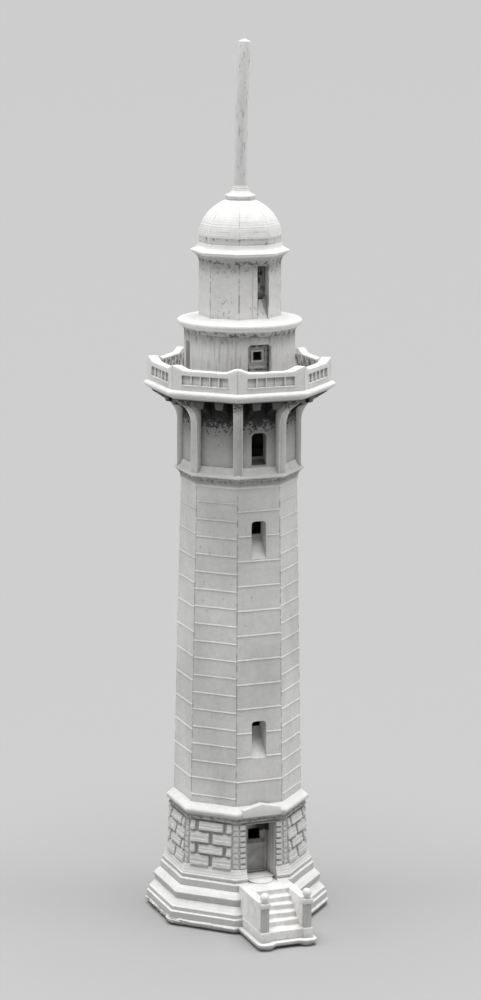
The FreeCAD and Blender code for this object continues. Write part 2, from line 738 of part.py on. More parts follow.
def parapet_panel():
    """One parapet side: rails ramped up to the corners and a row of sunk lights."""
    corner = PARAPET_OUTER * EDGE_RATIO
    flat = corner - CORNER_FLAT
    ramp = flat - CORNER_RAMP
    past = corner + 1
    elevation = [(-past, DECK_TOP), (-past, RAIL_HIGH_Z), (-flat, RAIL_HIGH_Z),
                 (-ramp, RAIL_LOW_Z), (ramp, RAIL_LOW_Z), (flat, RAIL_HIGH_Z),
                 (past, RAIL_HIGH_Z), (past, DECK_TOP)]
    panel = plate_yz(elevation, PARAPET_INNER, PARAPET_OUTER)
    half = LIGHTS_HALF_WIDTH
    back = PARAPET_OUTER - LIGHTS_DEPTH
    panel = panel.cut(box(back, PARAPET_OUTER, -half, half, LIGHTS_BOTTOM, LIGHTS_TOP))
    pitch = 2 * half / LIGHTS_PER_PANEL
    for index in range(1, LIGHTS_PER_PANEL):
        y = index * pitch - half
        panel = panel.fuse(box(back, PARAPET_OUTER - 0.02, y - MULLION_WIDTH / 2,
                               y + MULLION_WIDTH / 2, LIGHTS_BOTTOM, LIGHTS_TOP))
    panel = panel.fuse(box(back, PARAPET_OUTER + SILL_PROUD, -half - 0.1, half + 0.1,
                           LIGHTS_BOTTOM - 0.12, LIGHTS_BOTTOM))
    return one_solid(panel.common(side_sector(GLUE_GAP)).removeSplitter())


def watch_window_opening(y_low, y_high, clearance=0.0):
    """Arched opening for a window that faces -Y."""
    half = WATCH_WINDOW_HALF_WIDTH - clearance
    low = WATCH_WINDOW_BOTTOM + clearance
    body = box(-half, half, y_low, y_high, low, WATCH_WINDOW_SPRING)
    arch = Part.makeCylinder(half, y_high - y_low, Vector(0, y_low, WATCH_WINDOW_SPRING),
                             Vector(0, 1, 0))
    return one_solid(body.fuse(arch))


def watch_door_outline(clearance=0.0):
    """Outline of the watch-room doorway, with clipped upper corners."""
    half = WATCH_DOOR_HALF_WIDTH - clearance
    top = WATCH_DOOR_TOP - clearance
    clip = 0.35
    return [(-half, DECK_TOP), (half, DECK_TOP), (half, top - clip), (half - clip, top),
            (clip - half, top), (-half, top - clip)]


def watch_room():
    """Round watch room with a doorway and three windows."""
    body = cylinder(DRUM_RADIUS, DECK_TOP, DRUM_TOP)
    body = body.cut(plate_xz(watch_door_outline(), -FAR, 0))
    for angle in WATCH_WINDOWS.values():
        opening = watch_window_opening(-FAR, 0)
        body = body.cut(turned(opening, angle - ENTRANCE_SIDE))
    return hollow_section(body, DECK_TOP, DRUM_TOP, MAIN_BORE, MAIN_BORE)


def watch_room_door():
    """Watch-room door with a square light in a raised surround."""
    back = WATCH_DOOR_FACE_Y + 0.35
    leaf = plate_xz(watch_door_outline(SEAT_GAP), WATCH_DOOR_FACE_Y, back)
    half = WATCH_PANE_HALF_WIDTH
    border = 0.3
    surround = box(-half - border, half + border, WATCH_DOOR_FACE_Y - 0.12, back,
                   WATCH_PANE_BOTTOM - border, WATCH_PANE_TOP + border)
    rail = box(-1.3, 1.3, WATCH_DOOR_FACE_Y - 0.12, back, 76.95, 77.3)
    pane = box(-half, half, -FAR, 0, WATCH_PANE_BOTTOM, WATCH_PANE_TOP)
    return one_solid(leaf.fuse(surround).fuse(rail).cut(pane))


def watch_room_window():
    """Blind arched casement with one crossbar, facing -Y."""
    panel = watch_window_opening(-WATCH_WINDOW_FACE, 0.35 - WATCH_WINDOW_FACE, SEAT_GAP)
    bar = box(-0.08, 0.08, -WATCH_WINDOW_FACE - 0.1, -WATCH_WINDOW_FACE,
              WATCH_WINDOW_BOTTOM + SEAT_GAP, WATCH_WINDOW_SPRING)
    return one_solid(panel.fuse(bar))


def round_cornice():
    """Round roof plate of the watch room, with a rolled rim and a cavetto under it."""
    body = round_body([
        (0, DRUM_TOP), (DRUM_RADIUS, DRUM_TOP), ((7.72, 81.78), (8.22, 82.13)),
        ((8.49, 82.54), (8.12, 82.93)), (5.3, LANTERN_BOTTOM), (0, LANTERN_BOTTOM)])
    return hollow_section(body, DRUM_TOP, LANTERN_BOTTOM, LANTERN_BORE, MAIN_BORE)


# ---------------------------------------------------------------- lantern, dome and mast


def lantern_room():
    """Octagonal lantern room with a narrow doorway above a steep ramp."""
    apothem = LANTERN_APOTHEM
    body = octagon_body([
        (0, LANTERN_BOTTOM), (apothem, LANTERN_BOTTOM), (apothem, LANTERN_TOP),
        (0, LANTERN_TOP)])
    doorway = box(LANTERN_DOOR_LEFT, LANTERN_DOOR_RIGHT, -FAR, 0,
                  LANTERN_BOTTOM, LANTERN_DOOR_TOP)
    ramp = plate_yz([
        (-apothem, LANTERN_BOTTOM), (-LANTERN_BORE + 0.2, LANTERN_RAMP_TOP),
        (0, LANTERN_RAMP_TOP), (0, LANTERN_BOTTOM)], -FAR, FAR)
    groove = box(LANTERN_GROOVE_X - LANTERN_GROOVE_WIDTH / 2,
                 LANTERN_GROOVE_X + LANTERN_GROOVE_WIDTH / 2,
                 -FAR, LANTERN_GROOVE_DEPTH - apothem, LANTERN_BOTTOM, LANTERN_DOOR_TOP)
    body = body.cut(doorway.cut(ramp)).cut(groove)
    return hollow_section(body, LANTERN_BOTTOM, LANTERN_TOP, LANTERN_BORE, LANTERN_BORE)


def lantern_cornice():
    """Flared eaves between the lantern room and the dome."""
    body = octagon_body([
        (0, LANTERN_TOP), (5.12, LANTERN_TOP), ((5.42, 91.28), (6.06, 91.84)),
        ((6.24, 92.04), (6.08, 92.18)), ((5.48, 92.5), (5.2, DOME_BOTTOM)),
        (0, DOME_BOTTOM)])
    return hollow_section(body, LANTERN_TOP, DOME_BOTTOM, LANTERN_BORE, LANTERN_BORE)


def dome_edge(apothem, rise, stop_apothem):
    """Elliptical arc of a dome side, from the springing up to an apothem."""
    centre = Vector(0, 0, DOME_SPRING)
    ellipse = Part.Ellipse(Vector(0, 0, DOME_SPRING + rise), Vector(apothem, 0, DOME_SPRING),
                           centre)
    start = math.asin(stop_apothem / apothem)
    return Part.ArcOfEllipse(ellipse, start, math.pi / 2).toShape()


def dome_solid(apothem, rise, z_low, crown_apothem):
    """Octagonal dome with upright sides below the springing, cut off level at its crown."""
    arc = dome_edge(apothem, rise, crown_apothem)
    crown_z = arc.BoundBox.ZMax
    edges = outline_edges([(0, z_low), (apothem, z_low), (apothem, DOME_SPRING)])
    edges.append(arc)
    edges += outline_edges([(crown_apothem, crown_z), (0, crown_z)])
    return octagon_from_edges(edges)


def dome():
    """Hollow octagonal dome on a low set-back band, with a hole for the collar's pin."""
    crown = DOME_APOTHEM * math.sqrt(1 - ((DOME_TOP - DOME_SPRING) / DOME_RISE) ** 2)
    shell = dome_solid(DOME_APOTHEM, DOME_RISE, DOME_BOTTOM, crown)
    shell = shell.cut(cylinder(2 * DOME_APOTHEM, DOME_BOTTOM - 1, DOME_BAND_TOP))
    shell = shell.fuse(octagon_body([
        (0, DOME_BOTTOM), (DOME_BAND_APOTHEM, DOME_BOTTOM), (DOME_BAND_APOTHEM, DOME_BAND_TOP),
        (0, DOME_BAND_TOP)]))
    shell = shell.cut(dome_solid(DOME_APOTHEM - 1.1, DOME_RISE - 1.1, DOME_BOTTOM, 0.8))
    shell = shell.cut(cylinder(1.0 + SEAT_GAP, DOME_BOTTOM, DOME_TOP))
    return one_solid(shell.fuse(spigot(LANTERN_BORE, DOME_BOTTOM)).fuse(
        cylinder(DOME_APOTHEM - 1.0, DOME_BOTTOM, DOME_BOTTOM + 0.3).cut(
            cylinder(LANTERN_BORE - SEAT_GAP - SPIGOT_WALL, DOME_BOTTOM, DOME_BOTTOM + 0.3))))


def finial_collar():
    """Bell-shaped collar at the mast's foot, with a flange, two rings and a pin below."""
    body = octagon_body([
        (0, DOME_TOP), (1.77, DOME_TOP), (1.8, 99.08), ((1.93, 99.24), (1.88, 99.42)),
        ((1.32, 99.64), (1.06, 100.05)), (1.06, 100.2), (0.92, 100.27), (0.96, 100.33),
        (0.96, 100.45), (0.86, 100.5), (0.86, COLLAR_TOP), (0, COLLAR_TOP)])
    body = body.fuse(cylinder(1.0, DOME_TOP - 0.6, DOME_TOP))
    socket = cylinder(MAST_TENON_RADIUS + GLUE_GAP, COLLAR_TOP - MAST_TENON_LENGTH - GLUE_GAP,
                      COLLAR_TOP)
    return one_solid(body.cut(socket))


def mast():
    """Octagonal mast, bowed along its length, with a low pointed cap and a tenon."""
    corners = []
    radius = MAST_APOTHEM * CORNER_RATIO
    for side in range(SIDES + 1):
        angle = math.radians(HALF_SIDE + side * SIDE_STEP)
        corners.append(Vector(radius * math.cos(angle), radius * math.sin(angle), COLLAR_TOP))
    section = Part.Face(Part.makePolygon(corners))
    lean = math.radians(-HALF_SIDE)
    towards = Vector(math.cos(lean), math.sin(lean), 0)
    pivot = towards * MAST_BOW_RADIUS + UP * COLLAR_TOP
    axis = UP.cross(towards)
    sweep = math.degrees((MAST_SHOULDER - COLLAR_TOP) / MAST_BOW_RADIUS)
    shaft = section.revolve(pivot, axis, sweep)
    top = section.copy()
    top.rotate(pivot, axis, sweep)
    centre = top.CenterOfMass
    apex = Vector(centre.x, centre.y, TOTAL_HEIGHT)
    faces = [top]
    for edge in top.OuterWire.Edges:
        ends = [vertex.Point for vertex in edge.Vertexes]
        faces.append(Part.Face(Part.makePolygon([ends[0], ends[1], apex, ends[0]])))
    cap = Part.makeSolid(Part.makeShell(faces))
    if cap.Volume < 0:
        cap.reverse()
    tenon = cylinder(MAST_TENON_RADIUS, COLLAR_TOP - MAST_TENON_LENGTH, COLLAR_TOP)
    return one_solid(shaft.fuse(cap).fuse(tenon))


# ---------------------------------------------------------------- assembly


def build_lower_tower():
    """Base, plinth, ground storey and stairs."""
    save("base_slab", base_slab())
    save("plinth_step", plinth_step())
    save("plinth_torus", plinth_torus())
    save("plinth_cap", plinth_cap())
    save("ground_wall", ground_wall())
    save("rustic_blocks", rustic_blocks())
    save("corner_quoins", corner_quoins())
    save("jamb_stones", jamb_stones())
    save("entrance_frame", entrance_frame())
    save("entrance_door", entrance_door())
    save("door_step", door_step())
    posts = {}
    for name, side in (("left", -1), ("right", 1)):
        posts[name] = newel_post(side)
        save("newel_post_" + name, posts[name])
        save("newel_ball_" + name, newel_ball(side))
        save("stair_cheek_" + name, stair_cheek(side, posts[name]))
    save("stair_flight", stair_flight(posts.values()))


def build_shaft():
    """Cornice, pediment, shaft and belt course."""
    cornice = ground_cornice()
    shaft = tower_shaft()
    save("ground_cornice", cornice)
    save("entrance_pediment", pediment(cornice, shaft))
    save("tower_shaft", shaft)
    belt = belt_body()
    save("belt_course", hollow_section(belt, SHAFT_TOP, BELT_TOP, MAIN_BORE, MAIN_BORE))
    save("corbel_storey", corbel_storey())
    pilaster = corner_pilaster(belt)
    for side in range(SIDES):
        save("corner_pilaster_%d" % (side + 1), turned(pilaster, side * SIDE_STEP))
    save("gallery_brackets", gallery_brackets())


def build_top():
    """Gallery, watch room, lantern room, dome and mast."""
    save("gallery_deck", gallery_deck())
    panel = parapet_panel()
    for side in range(SIDES):
        save("parapet_panel_%d" % (side + 1), turned(panel, side * SIDE_STEP))
    save("watch_room", watch_room())
    save("watch_room_door", watch_room_door())
    for name, angle in WATCH_WINDOWS.items():
        save("watch_room_window_" + name, turned(watch_room_window(), angle - ENTRANCE_SIDE))
    save("round_cornice", round_cornice())
    save("lantern_room", lantern_room())
    save("lantern_cornice", lantern_cornice())
    save("dome", dome())
    save("finial_collar", finial_collar())
    save("mast", mast())


os.makedirs("parts", exist_ok=True)
build_lower_tower()
build_shaft()
build_top()
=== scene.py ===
import math

import bmesh
import bpy
from mathutils import Matrix, Vector, noise


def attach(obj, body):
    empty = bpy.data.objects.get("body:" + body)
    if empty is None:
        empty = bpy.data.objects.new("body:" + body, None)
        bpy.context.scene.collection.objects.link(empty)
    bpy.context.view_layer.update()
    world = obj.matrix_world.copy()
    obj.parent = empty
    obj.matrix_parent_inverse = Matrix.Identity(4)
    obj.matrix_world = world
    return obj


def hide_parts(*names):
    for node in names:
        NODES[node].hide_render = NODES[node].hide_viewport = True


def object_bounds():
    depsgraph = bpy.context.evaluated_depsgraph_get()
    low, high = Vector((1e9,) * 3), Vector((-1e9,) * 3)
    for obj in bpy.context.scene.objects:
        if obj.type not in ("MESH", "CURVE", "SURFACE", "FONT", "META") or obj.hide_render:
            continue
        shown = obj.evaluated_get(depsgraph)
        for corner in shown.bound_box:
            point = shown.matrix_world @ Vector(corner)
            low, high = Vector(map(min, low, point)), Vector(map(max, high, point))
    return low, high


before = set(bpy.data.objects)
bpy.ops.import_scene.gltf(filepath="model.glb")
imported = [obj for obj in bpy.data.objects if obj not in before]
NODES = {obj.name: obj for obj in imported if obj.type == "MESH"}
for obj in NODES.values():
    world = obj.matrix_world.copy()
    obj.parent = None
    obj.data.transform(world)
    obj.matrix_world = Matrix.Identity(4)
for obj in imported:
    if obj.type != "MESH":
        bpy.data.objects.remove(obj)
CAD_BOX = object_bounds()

# Miniature octagonal tower in matte casting resin. Shapes are written in millimetres in the
# row frame (axis on Z, entrance towards -Y) and are scaled to metres when a mesh is made.

MM = 0.001
SIDES = 8
TURN = math.radians(360 / SIDES)
HALF = TURN / 2
TAN_HALF = math.tan(HALF)

noise.seed_set(5)   # vector noise takes its offsets from the clock until it is seeded
ENTRANCE_SIDE = 6   # the sides are numbered from +X round by +Y, so this one faces -Y

# Levels and wall sizes, in millimetres
PLINTH_TOP = 8.2
GROUND_TOP = 14.75
SHAFT_BOTTOM = 16.95
SHAFT_TOP = 60.85
DOME_SPRING = 93.5
DOME_RISE = 5.6
DOME_APOTHEM = 5.22
COLLAR_APOTHEM = 1.77
SHAFT_LOW_APOTHEM = 8.18
SHAFT_HIGH_APOTHEM = 7.3
GROUND_LOW_APOTHEM = 8.93
GROUND_HIGH_APOTHEM = 8.66
BORE = 5.85         # inside of the tower's hollow castings
UPPER_BORE = 4.0    # inside of those above the watch room

# Angles between faces: shown as an edge, taken for flat, and rolled over
SHARP_FROM = math.radians(32)
FLAT_BELOW = math.radians(0.6)
ROLL_FROM = math.radians(28)


# ---- outlines and plans


def heading(angle):
    return Vector((math.cos(angle), math.sin(angle), 0))


def share_of(value):
    """Value kept between 0 and 1."""
    return min(1.0, max(0.0, value))


def bent(start, middle, end, t):
    """Point on the curve that leaves start and reaches end, drawn towards the middle."""
    return start * (1 - t) ** 2 + middle * 2 * t * (1 - t) + end * t ** 2


def rounded(points, radius, steps=3):
    """Open outline with its corners rounded off."""
    out = [points[0]]
    for before, here, after in zip(points, points[1:], points[2:]):
        here = Vector(here)
        back = Vector(before) - here
        ahead = Vector(after) - here
        reach = min(radius, 0.45 * back.length, 0.45 * ahead.length)
        start = here + back.normalized() * reach
        end = here + ahead.normalized() * reach
        out += [tuple(bent(start, here, end, step / steps)) for step in range(steps + 1)]
    out.append(points[-1])
    return out


def spaced(points, spacing):
    """Outline with extra points, so that no two are further apart than the spacing."""
    out = [points[0]]
    for start, end in zip(points, points[1:]):
        start, end = Vector(start), Vector(end)
        count = max(1, math.ceil((end - start).length / spacing))
        out += [tuple(start.lerp(end, i / count)) for i in range(1, count + 1)]
    return out


EVEN_STATIONS = [i / 10 for i in range(11)]
CIRCLE_POINTS = 96
CORNER_STATIONS = [0, 0.03, 0.07, 0.14, 0.24, 0.34, 0.42, 0.5, 0.58, 0.66, 0.76, 0.86, 0.93, 0.97, 1]


def octagon_level(apothems, corner, stations):
    """Points round an octagon whose sides may lie at different distances from the axis."""
    corners = []
    for side in range(SIDES):
        here, following = apothems[side], apothems[(side + 1) % SIDES]
        along = (following - here * math.cos(TURN)) / math.sin(TURN)
        corners.append(heading(side * TURN) * here + heading(side * TURN + math.pi / 2) * along)
    points = []
    for side in range(SIDES):
        start, end = corners[side - 1], corners[side]
        edge = end - start
        length = edge.length
        if length < 1e-6:
            points += [start.copy() for _ in range(len(stations) + 3)]
            continue
        cut = min(corner * TAN_HALF, 0.4 * length)
        along = edge / length
        first, last = start + along * cut, end - along * cut
        points += [first.lerp(last, station) for station in stations]
        onward = corners[(side + 1) % SIDES] - end
        leave = end + onward.normalized() * cut if onward.length > 1e-6 else end
        points += [bent(last, end, leave, t) for t in (0.25, 0.5, 0.75)]
    return points


def ripple(x, y=0, z=0):
    return noise.noise(Vector((x, y, z)))


def wobble(point, amount, size, seed):
    """Small smooth shift that makes a cast edge less than perfect."""
    return noise.noise_vector(point / size + Vector((seed, seed * 0.7, seed * 1.3))) * amount


def wobbled(rows, amount, size, seed):
    return [[point + wobble(point, amount, size, seed) for point in row] for row in rows]


def octagon_row(apothem, z, corner, stations):
    """Points round a regular octagon at one height."""
    return [point + Vector((0, 0, z)) for point in octagon_level([apothem] * SIDES, corner, stations)]


def loft(rows, closed, caps=(-1, 1)):
    """Mesh from rows of points of one length: a ring if closed, else capped at both ends.

    Caps gives the sense in which each end row is read.
    """
    bm = bmesh.new()
    grid = [[bm.verts.new(point) for point in row] for row in rows]
    count = len(grid[0])
    pairs = list(zip(grid, grid[1:])) + ([(grid[-1], grid[0])] if closed else [])
    for lower, upper in pairs:
        for i in range(count):
            j = (i + 1) % count
            bm.faces.new((lower[i], lower[j], upper[j], upper[i]))
    if not closed:
        bm.faces.new(grid[0][::caps[0]])
        bm.faces.new(grid[-1][::caps[1]])
    return bm


def octagon_mesh(outline, closed, corner=0.12, stations=EVEN_STATIONS, amount=0.03, size=2.5,
                 seed=1.0):
    """Octagonal moulding from an outline of (apothem, height) pairs."""
    rows = [octagon_row(apothem, z, corner, stations) for apothem, z in outline]
    return loft(wobbled(rows, amount, size, seed), closed)


def round_mesh(outline, closed, amount=0.03, size=2.5, seed=1.0):
    """Turned moulding from an outline of (radius, height) pairs."""
    circle = [heading(2 * math.pi * i / CIRCLE_POINTS) for i in range(CIRCLE_POINTS)]
    rows = [[point * radius + Vector((0, 0, z)) for point in circle] for radius, z in outline]
    return loft(wobbled(rows, amount, size, seed), closed)


def moulding(outer, bore, radius=0.07, spacing=0.35):
    """Closed ring outline: a moulded outer face, rounded, and a plain bore behind it."""
    face = spaced(rounded(outer, radius), spacing)
    return face + [(bore, face[-1][1]), (bore, face[0][1])]


# ---- pieces


def linked(name, data):
    """New object in the scene."""
    obj = bpy.data.objects.new(name, data)
    bpy.context.scene.collection.objects.link(obj)
    return obj


def adopt(name, mesh, nodes, material):
    """Makes a mesh a piece of the model that stands for some CAD nodes, within the CAD box."""
    for vert in mesh.vertices:
        vert.co = [min(max(value, low), high) for value, low, high in zip(vert.co, *CAD_BOX)]
    obj = linked(name, mesh)
    mesh.materials.clear()
    mesh.materials.append(material)
    mesh.shade_smooth()
    mesh.set_sharp_from_angle(angle=SHARP_FROM)
    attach(obj, "root")
    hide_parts(*nodes)


def mesh_of(name, bm, clean=True):
    """Mesh in metres from a bmesh in millimetres."""
    if clean:
        bmesh.ops.remove_doubles(bm, verts=bm.verts, dist=0.002)
        bmesh.ops.dissolve_degenerate(bm, edges=bm.edges, dist=0.0005)
    bmesh.ops.recalc_face_normals(bm, faces=bm.faces)
    bmesh.ops.scale(bm, vec=(MM, MM, MM), verts=bm.verts)
    mesh = bpy.data.meshes.new(name)
    bm.to_mesh(mesh)
    bm.free()
    return mesh


def merged(mesh, *extras):
    """Mesh with others added to it."""
    bm = bmesh.new()
    for part in (mesh, *extras):
        bm.from_mesh(part)
    bm.to_mesh(mesh)
    bm.free()
    return mesh


def carved(mesh, cutters):
    """Mesh after solid cutters are taken out of it."""
    body = linked("body", mesh)
    helpers = [linked("cutter", mesh_of("cutter", bm)) for bm in cutters]
    for helper in helpers:
        modifier = body.modifiers.new("cut", "BOOLEAN")
        modifier.operation = "DIFFERENCE"
        modifier.solver = "EXACT"
        modifier.object = helper
    graph = bpy.context.evaluated_depsgraph_get()
    result = bpy.data.meshes.new_from_object(body.evaluated_get(graph))
    for obj in helpers + [body]:
        bpy.data.objects.remove(obj)
    return result


def box_mesh(x0, x1, y0, y1, z0, z1):
    bm = bmesh.new()
    bmesh.ops.create_cube(bm, size=1)
    bmesh.ops.scale(bm, vec=(x1 - x0, y1 - y0, z1 - z0), verts=bm.verts)
    bmesh.ops.translate(bm, vec=((x0 + x1) / 2, (y0 + y1) / 2, (z0 + z1) / 2), verts=bm.verts)
    return bm


def rolled(bm, edges, width):
    """Rolls edges over, as a casting has them."""
    bmesh.ops.bevel(bm, geom=edges, offset=width, offset_type="OFFSET", segments=2, profile=0.5,
                    affect="EDGES", clamp_overlap=True)


def shaken(bm, amount, size, seed):
    for vert in bm.verts:
        vert.co += wobble(vert.co, amount, size, seed)


def softened(node, material, width=0.06, amount=0.0, seed=1.0):
    """Piece that is a copy of its CAD node with the sharp edges rolled over."""
    bm = bmesh.new()
    bm.from_mesh(NODES[node].data)
    bmesh.ops.scale(bm, vec=(1 / MM,) * 3, verts=bm.verts)
    bmesh.ops.remove_doubles(bm, verts=bm.verts, dist=0.0015)
    bmesh.ops.dissolve_limit(bm, angle_limit=FLAT_BELOW, verts=bm.verts, edges=bm.edges)
    rolled(bm, [edge for edge in bm.edges
                if len(edge.link_faces) == 2 and edge.calc_face_angle(0) > ROLL_FROM], width)
    bmesh.ops.triangulate(bm, faces=[face for face in bm.faces if len(face.verts) > 4])
    if amount:
        shaken(bm, amount, 2.0, seed)
    adopt(node + "_cast", mesh_of(node, bm), [node], material)


def moulded(node, outline, closed, material, slot, *shape, **options):
    """Piece that is an octagonal moulding in place of its CAD node."""
    mesh = mesh_of(node, octagon_mesh(outline, closed, *shape, **options))
    adopt(node + "_cast", mesh, [node], material)


def kept(node, material):
    """A CAD node that is shown as it is, with a finished material."""
    data = NODES[node].data
    data.materials.clear()
    data.materials.append(material)


# ---- materials


class Finish:
    """Node tree of one resin finish. Coordinates are in millimetres in the row frame."""

    def __init__(self, name):
        self.material = bpy.data.materials.new(name)
        self.material.use_nodes = True
        self.tree = self.material.node_tree
        self.tree.nodes.clear()
        coordinates = self.node("TexCoord").outputs["Object"]
        self.place = self.vector("MULTIPLY", coordinates, (1 / MM,) * 3)
        self.x, self.y, self.z = self.node("SeparateXYZ", Vector=self.place).outputs

    def plug(self, socket, value):
        if isinstance(value, bpy.types.NodeSocket):
            self.tree.links.new(value, socket)
        else:
            socket.default_value = value

    def node(self, kind, **sockets):
        """New node with some of its sockets set or linked."""
        node = self.tree.nodes.new("ShaderNode" + kind)
        for name, value in sockets.items():
            self.plug(node.inputs[name.replace("_", " ")], value)
        return node

    def operate(self, kind, operation, a, b):
        node = self.node(kind)
        node.operation = operation
        self.plug(node.inputs[0], a)
        self.plug(node.inputs[1], b)
        return node

    def vector(self, operation, a, b):
        return self.operate("VectorMath", operation, a, b).outputs[0]

    def math(self, operation, a, b=0.0, clamp=False):
        node = self.operate("Math", operation, a, b)
        node.use_clamp = clamp
        return node.outputs[0]

    def mixed(self, blend, factor, a, b):
        node = self.node("Mix")
        node.data_type = "RGBA"
        node.blend_type = blend
        for socket, value in ((0, factor), (6, a), (7, b)):
            self.plug(node.inputs[socket], value)
        return node.outputs[2]

    def plus(self, a, b):
        return self.math("ADD", a, b)

    def minus(self, a, b):
        return self.math("SUBTRACT", a, b)

    def larger(self, a, b):
        return self.math("MAXIMUM", a, b)

    def absolute(self, a):
        return self.math("ABSOLUTE", a)

    def times(self, *values):
        result = values[0]
        for value in values[1:]:
            result = self.math("MULTIPLY", result, value)
        return result

    def limited(self, a, b=1.0):
        """Product kept between 0 and 1."""
        return self.math("MULTIPLY", a, b, clamp=True)

    def grain(self, scale, detail=3.0, stretch=(1, 1, 1), roughness=0.5, shift=0.0):
        where = self.vector("MULTIPLY", self.place, stretch)
        where = self.vector("ADD", where, (shift, shift * 0.7, shift * 1.3))
        return self.node("TexNoise", Vector=where, Scale=scale, Detail=detail,
                         Roughness=roughness).outputs[0]

    def step(self, value, low, high):
        """0 below low, 1 above high (or the other way round), smooth between."""
        flip = low > high
        node = self.node("MapRange", Value=value, From_Min=min(low, high), From_Max=max(low, high),
                         To_Min=1.0 if flip else 0.0, To_Max=0.0 if flip else 1.0)
        node.interpolation_type = "SMOOTHSTEP"
        return node.outputs["Result"]

    def spots(self, low, high, *grain, **options):
        """Mask of the places where the grain is strong."""
        return self.step(self.grain(*grain, **options), low, high)

    def level(self, low, high):
        return self.step(self.z, low, high)

    def band(self, low, full_low, full_high, high):
        """Mask that fades in and out with height."""
        return self.times(self.level(low, full_low), self.level(high, full_high))

    def cavity(self, distance, gain):
        """How deep a point lies in a crevice, from the shape round it."""
        node = self.node("AmbientOcclusion", Distance=distance * MM)
        node.samples = 8
        return self.limited(self.minus(1.0, node.outputs["AO"]), gain)

    def corner_distance(self):
        """Distance from the nearest of the octagon's corner lines, in millimetres."""
        ax, ay = self.absolute(self.x), self.absolute(self.y)
        longer, shorter = self.larger(ax, ay), self.math("MINIMUM", ax, ay)
        offset = self.minus(self.times(shorter, math.cos(HALF)),
                           self.times(longer, math.sin(HALF)))
        return self.absolute(offset)

    def apothem(self):
        """Distance from the axis, measured square to the nearest octagon side."""
        ax, ay = self.absolute(self.x), self.absolute(self.y)
        longer = self.larger(ax, ay)
        diagonal = self.times(self.plus(ax, ay), math.sqrt(0.5))
        return self.larger(longer, diagonal)

    def upright(self):
        """1 on faces that stand up, 0 on faces that lie open to the sky."""
        normal = self.node("NewGeometry").outputs["Normal"]
        return self.step(self.node("SeparateXYZ", Vector=normal).outputs[2], 0.5, 0.2)

    def creep(self, none_at, full_at, scale=2.0, spread=0.16, stretch=(1, 1, 1), shift=0.0,
              ragged=0.5):
        """Blotches that thicken with height from nothing to full cover."""
        cover = self.node("MapRange", Value=self.z, From_Min=none_at, From_Max=full_at)
        value = self.plus(self.grain(scale, 6.0, stretch, ragged, shift),
                          self.times(cover.outputs["Result"], 0.62))
        return self.step(value, 0.68, 0.68 + spread)

    def seams(self, width, strength):
        """Broken dark lines down the octagon's corners."""
        return self.times(self.step(self.corner_distance(), width, width * 0.15),
                          self.spots(0.32, 0.6, 1.1), strength)

    def finish(self, tone, grime_and_shadow, shade=None, specks=0.35, layers=1.0, gain=0.6, dark=0.03,
               reach=0.8):
        """Matte resin: mottled body colour, pits, darkening in crevices that is partly a dark wash in
        the hollows and partly painted shade, and fine layer lines.

        Gain and reach (in millimetres) set how strong and how wide that crevice darkening is. The
        second argument adds dark marks that are dirt on some pieces and painted shadow on others; the
        shade argument darkens the body colour, as painted shade on most pieces and as stains on a
        few.
        """
        patches = self.grain(0.22, 4.0)
        fine = self.grain(1.5, 5.0, shift=3.1)
        level = self.plus(self.times(self.minus(patches, 0.5), 0.2),
                          self.times(self.minus(fine, 0.5), 0.22))
        level = self.plus(level, 1.0)
        # Darkens the body colour: painted shade on most pieces, stains on a few.
        if shade is not None:
            level = self.times(level, self.minus(1.0, self.limited(shade)))
        grey = self.node("CombineColor", Red=level, Green=level, Blue=level).outputs[0]
        body = self.mixed("MULTIPLY", 1.0, (tone, tone * 0.995, tone * 0.98, 1), grey)
        pits = self.times(self.spots(0.66, 0.72, 3.6, 2.0, shift=7.7),
                          self.spots(0.45, 0.7, 0.45, 2.0, shift=11.3), specks)
        # Ambient-occlusion darkening: a dark wash in the hollows, and painted shade where shade falls
        # in crevices.
        crevice = self.cavity(reach, gain)
        broken = self.plus(self.times(self.grain(2.3, 4.0, shift=5.9), 0.9), 0.25)
        # Dark mix of pits, the crevice darkening and the marks passed in, which are dirt on some
        # pieces and painted shadow on others.
        dirt = self.larger(pits, self.limited(crevice, broken))
        if grime_and_shadow is not None:
            dirt = self.larger(dirt, grime_and_shadow)
        colour = self.mixed("MIX", self.limited(dirt), body, (dark, dark * 0.97, dark * 0.92, 1))
        drift = self.times(self.grain(0.6, 2.0, shift=1.7), 6.0)
        lines = self.math("SINE", self.plus(self.times(self.z, 19.0), drift))
        worn = self.spots(0.35, 0.65, 0.3, 2.0, shift=2.9)
        lines = self.times(lines, worn, 0.1 * layers)
        height = self.plus(lines, self.times(self.grain(2.6, 4.0, shift=4.3), 0.55))
        height = self.plus(height, self.times(self.grain(9.0, 2.0, shift=8.1), 0.12))
        bump = self.node("Bump", Strength=0.8, Distance=0.05 * MM, Height=height)
        rough = self.plus(self.times(self.grain(0.9, 3.0, shift=6.1), 0.2), 0.68)
        shader = self.node("BsdfPrincipled", Base_Color=colour, Roughness=rough,
                           Normal=bump.outputs[0], Specular_IOR_Level=0.25)
        self.node("OutputMaterial", Surface=shader.outputs[0])
        return self.material


TONE = 0.8


def resin(recipe):
    """Turns a recipe into a function that makes the resin under the recipe's name."""
    return lambda: recipe(Finish(recipe.__name__))


def plain_resin(name, **options):
    return Finish(name).finish(TONE, None, **options)


@resin
def shaft_resin(f):
    """Shaft: broken dark lines down the corners and faint stains on the faces."""
    flecks = f.times(f.spots(0.62, 0.74, 1.9, 3.0, (1, 1, 0.45), shift=13.0),
                     f.spots(0.48, 0.66, 0.2, 2.0, shift=17.0), 0.35)
    haze = f.times(f.spots(0.4, 0.7, 0.16, 3.0, (1, 1, 0.5), shift=19.0), 0.14)
    return f.finish(TONE * 0.94, f.larger(f.seams(0.14, 0.5), flecks), haze, specks=0.3)


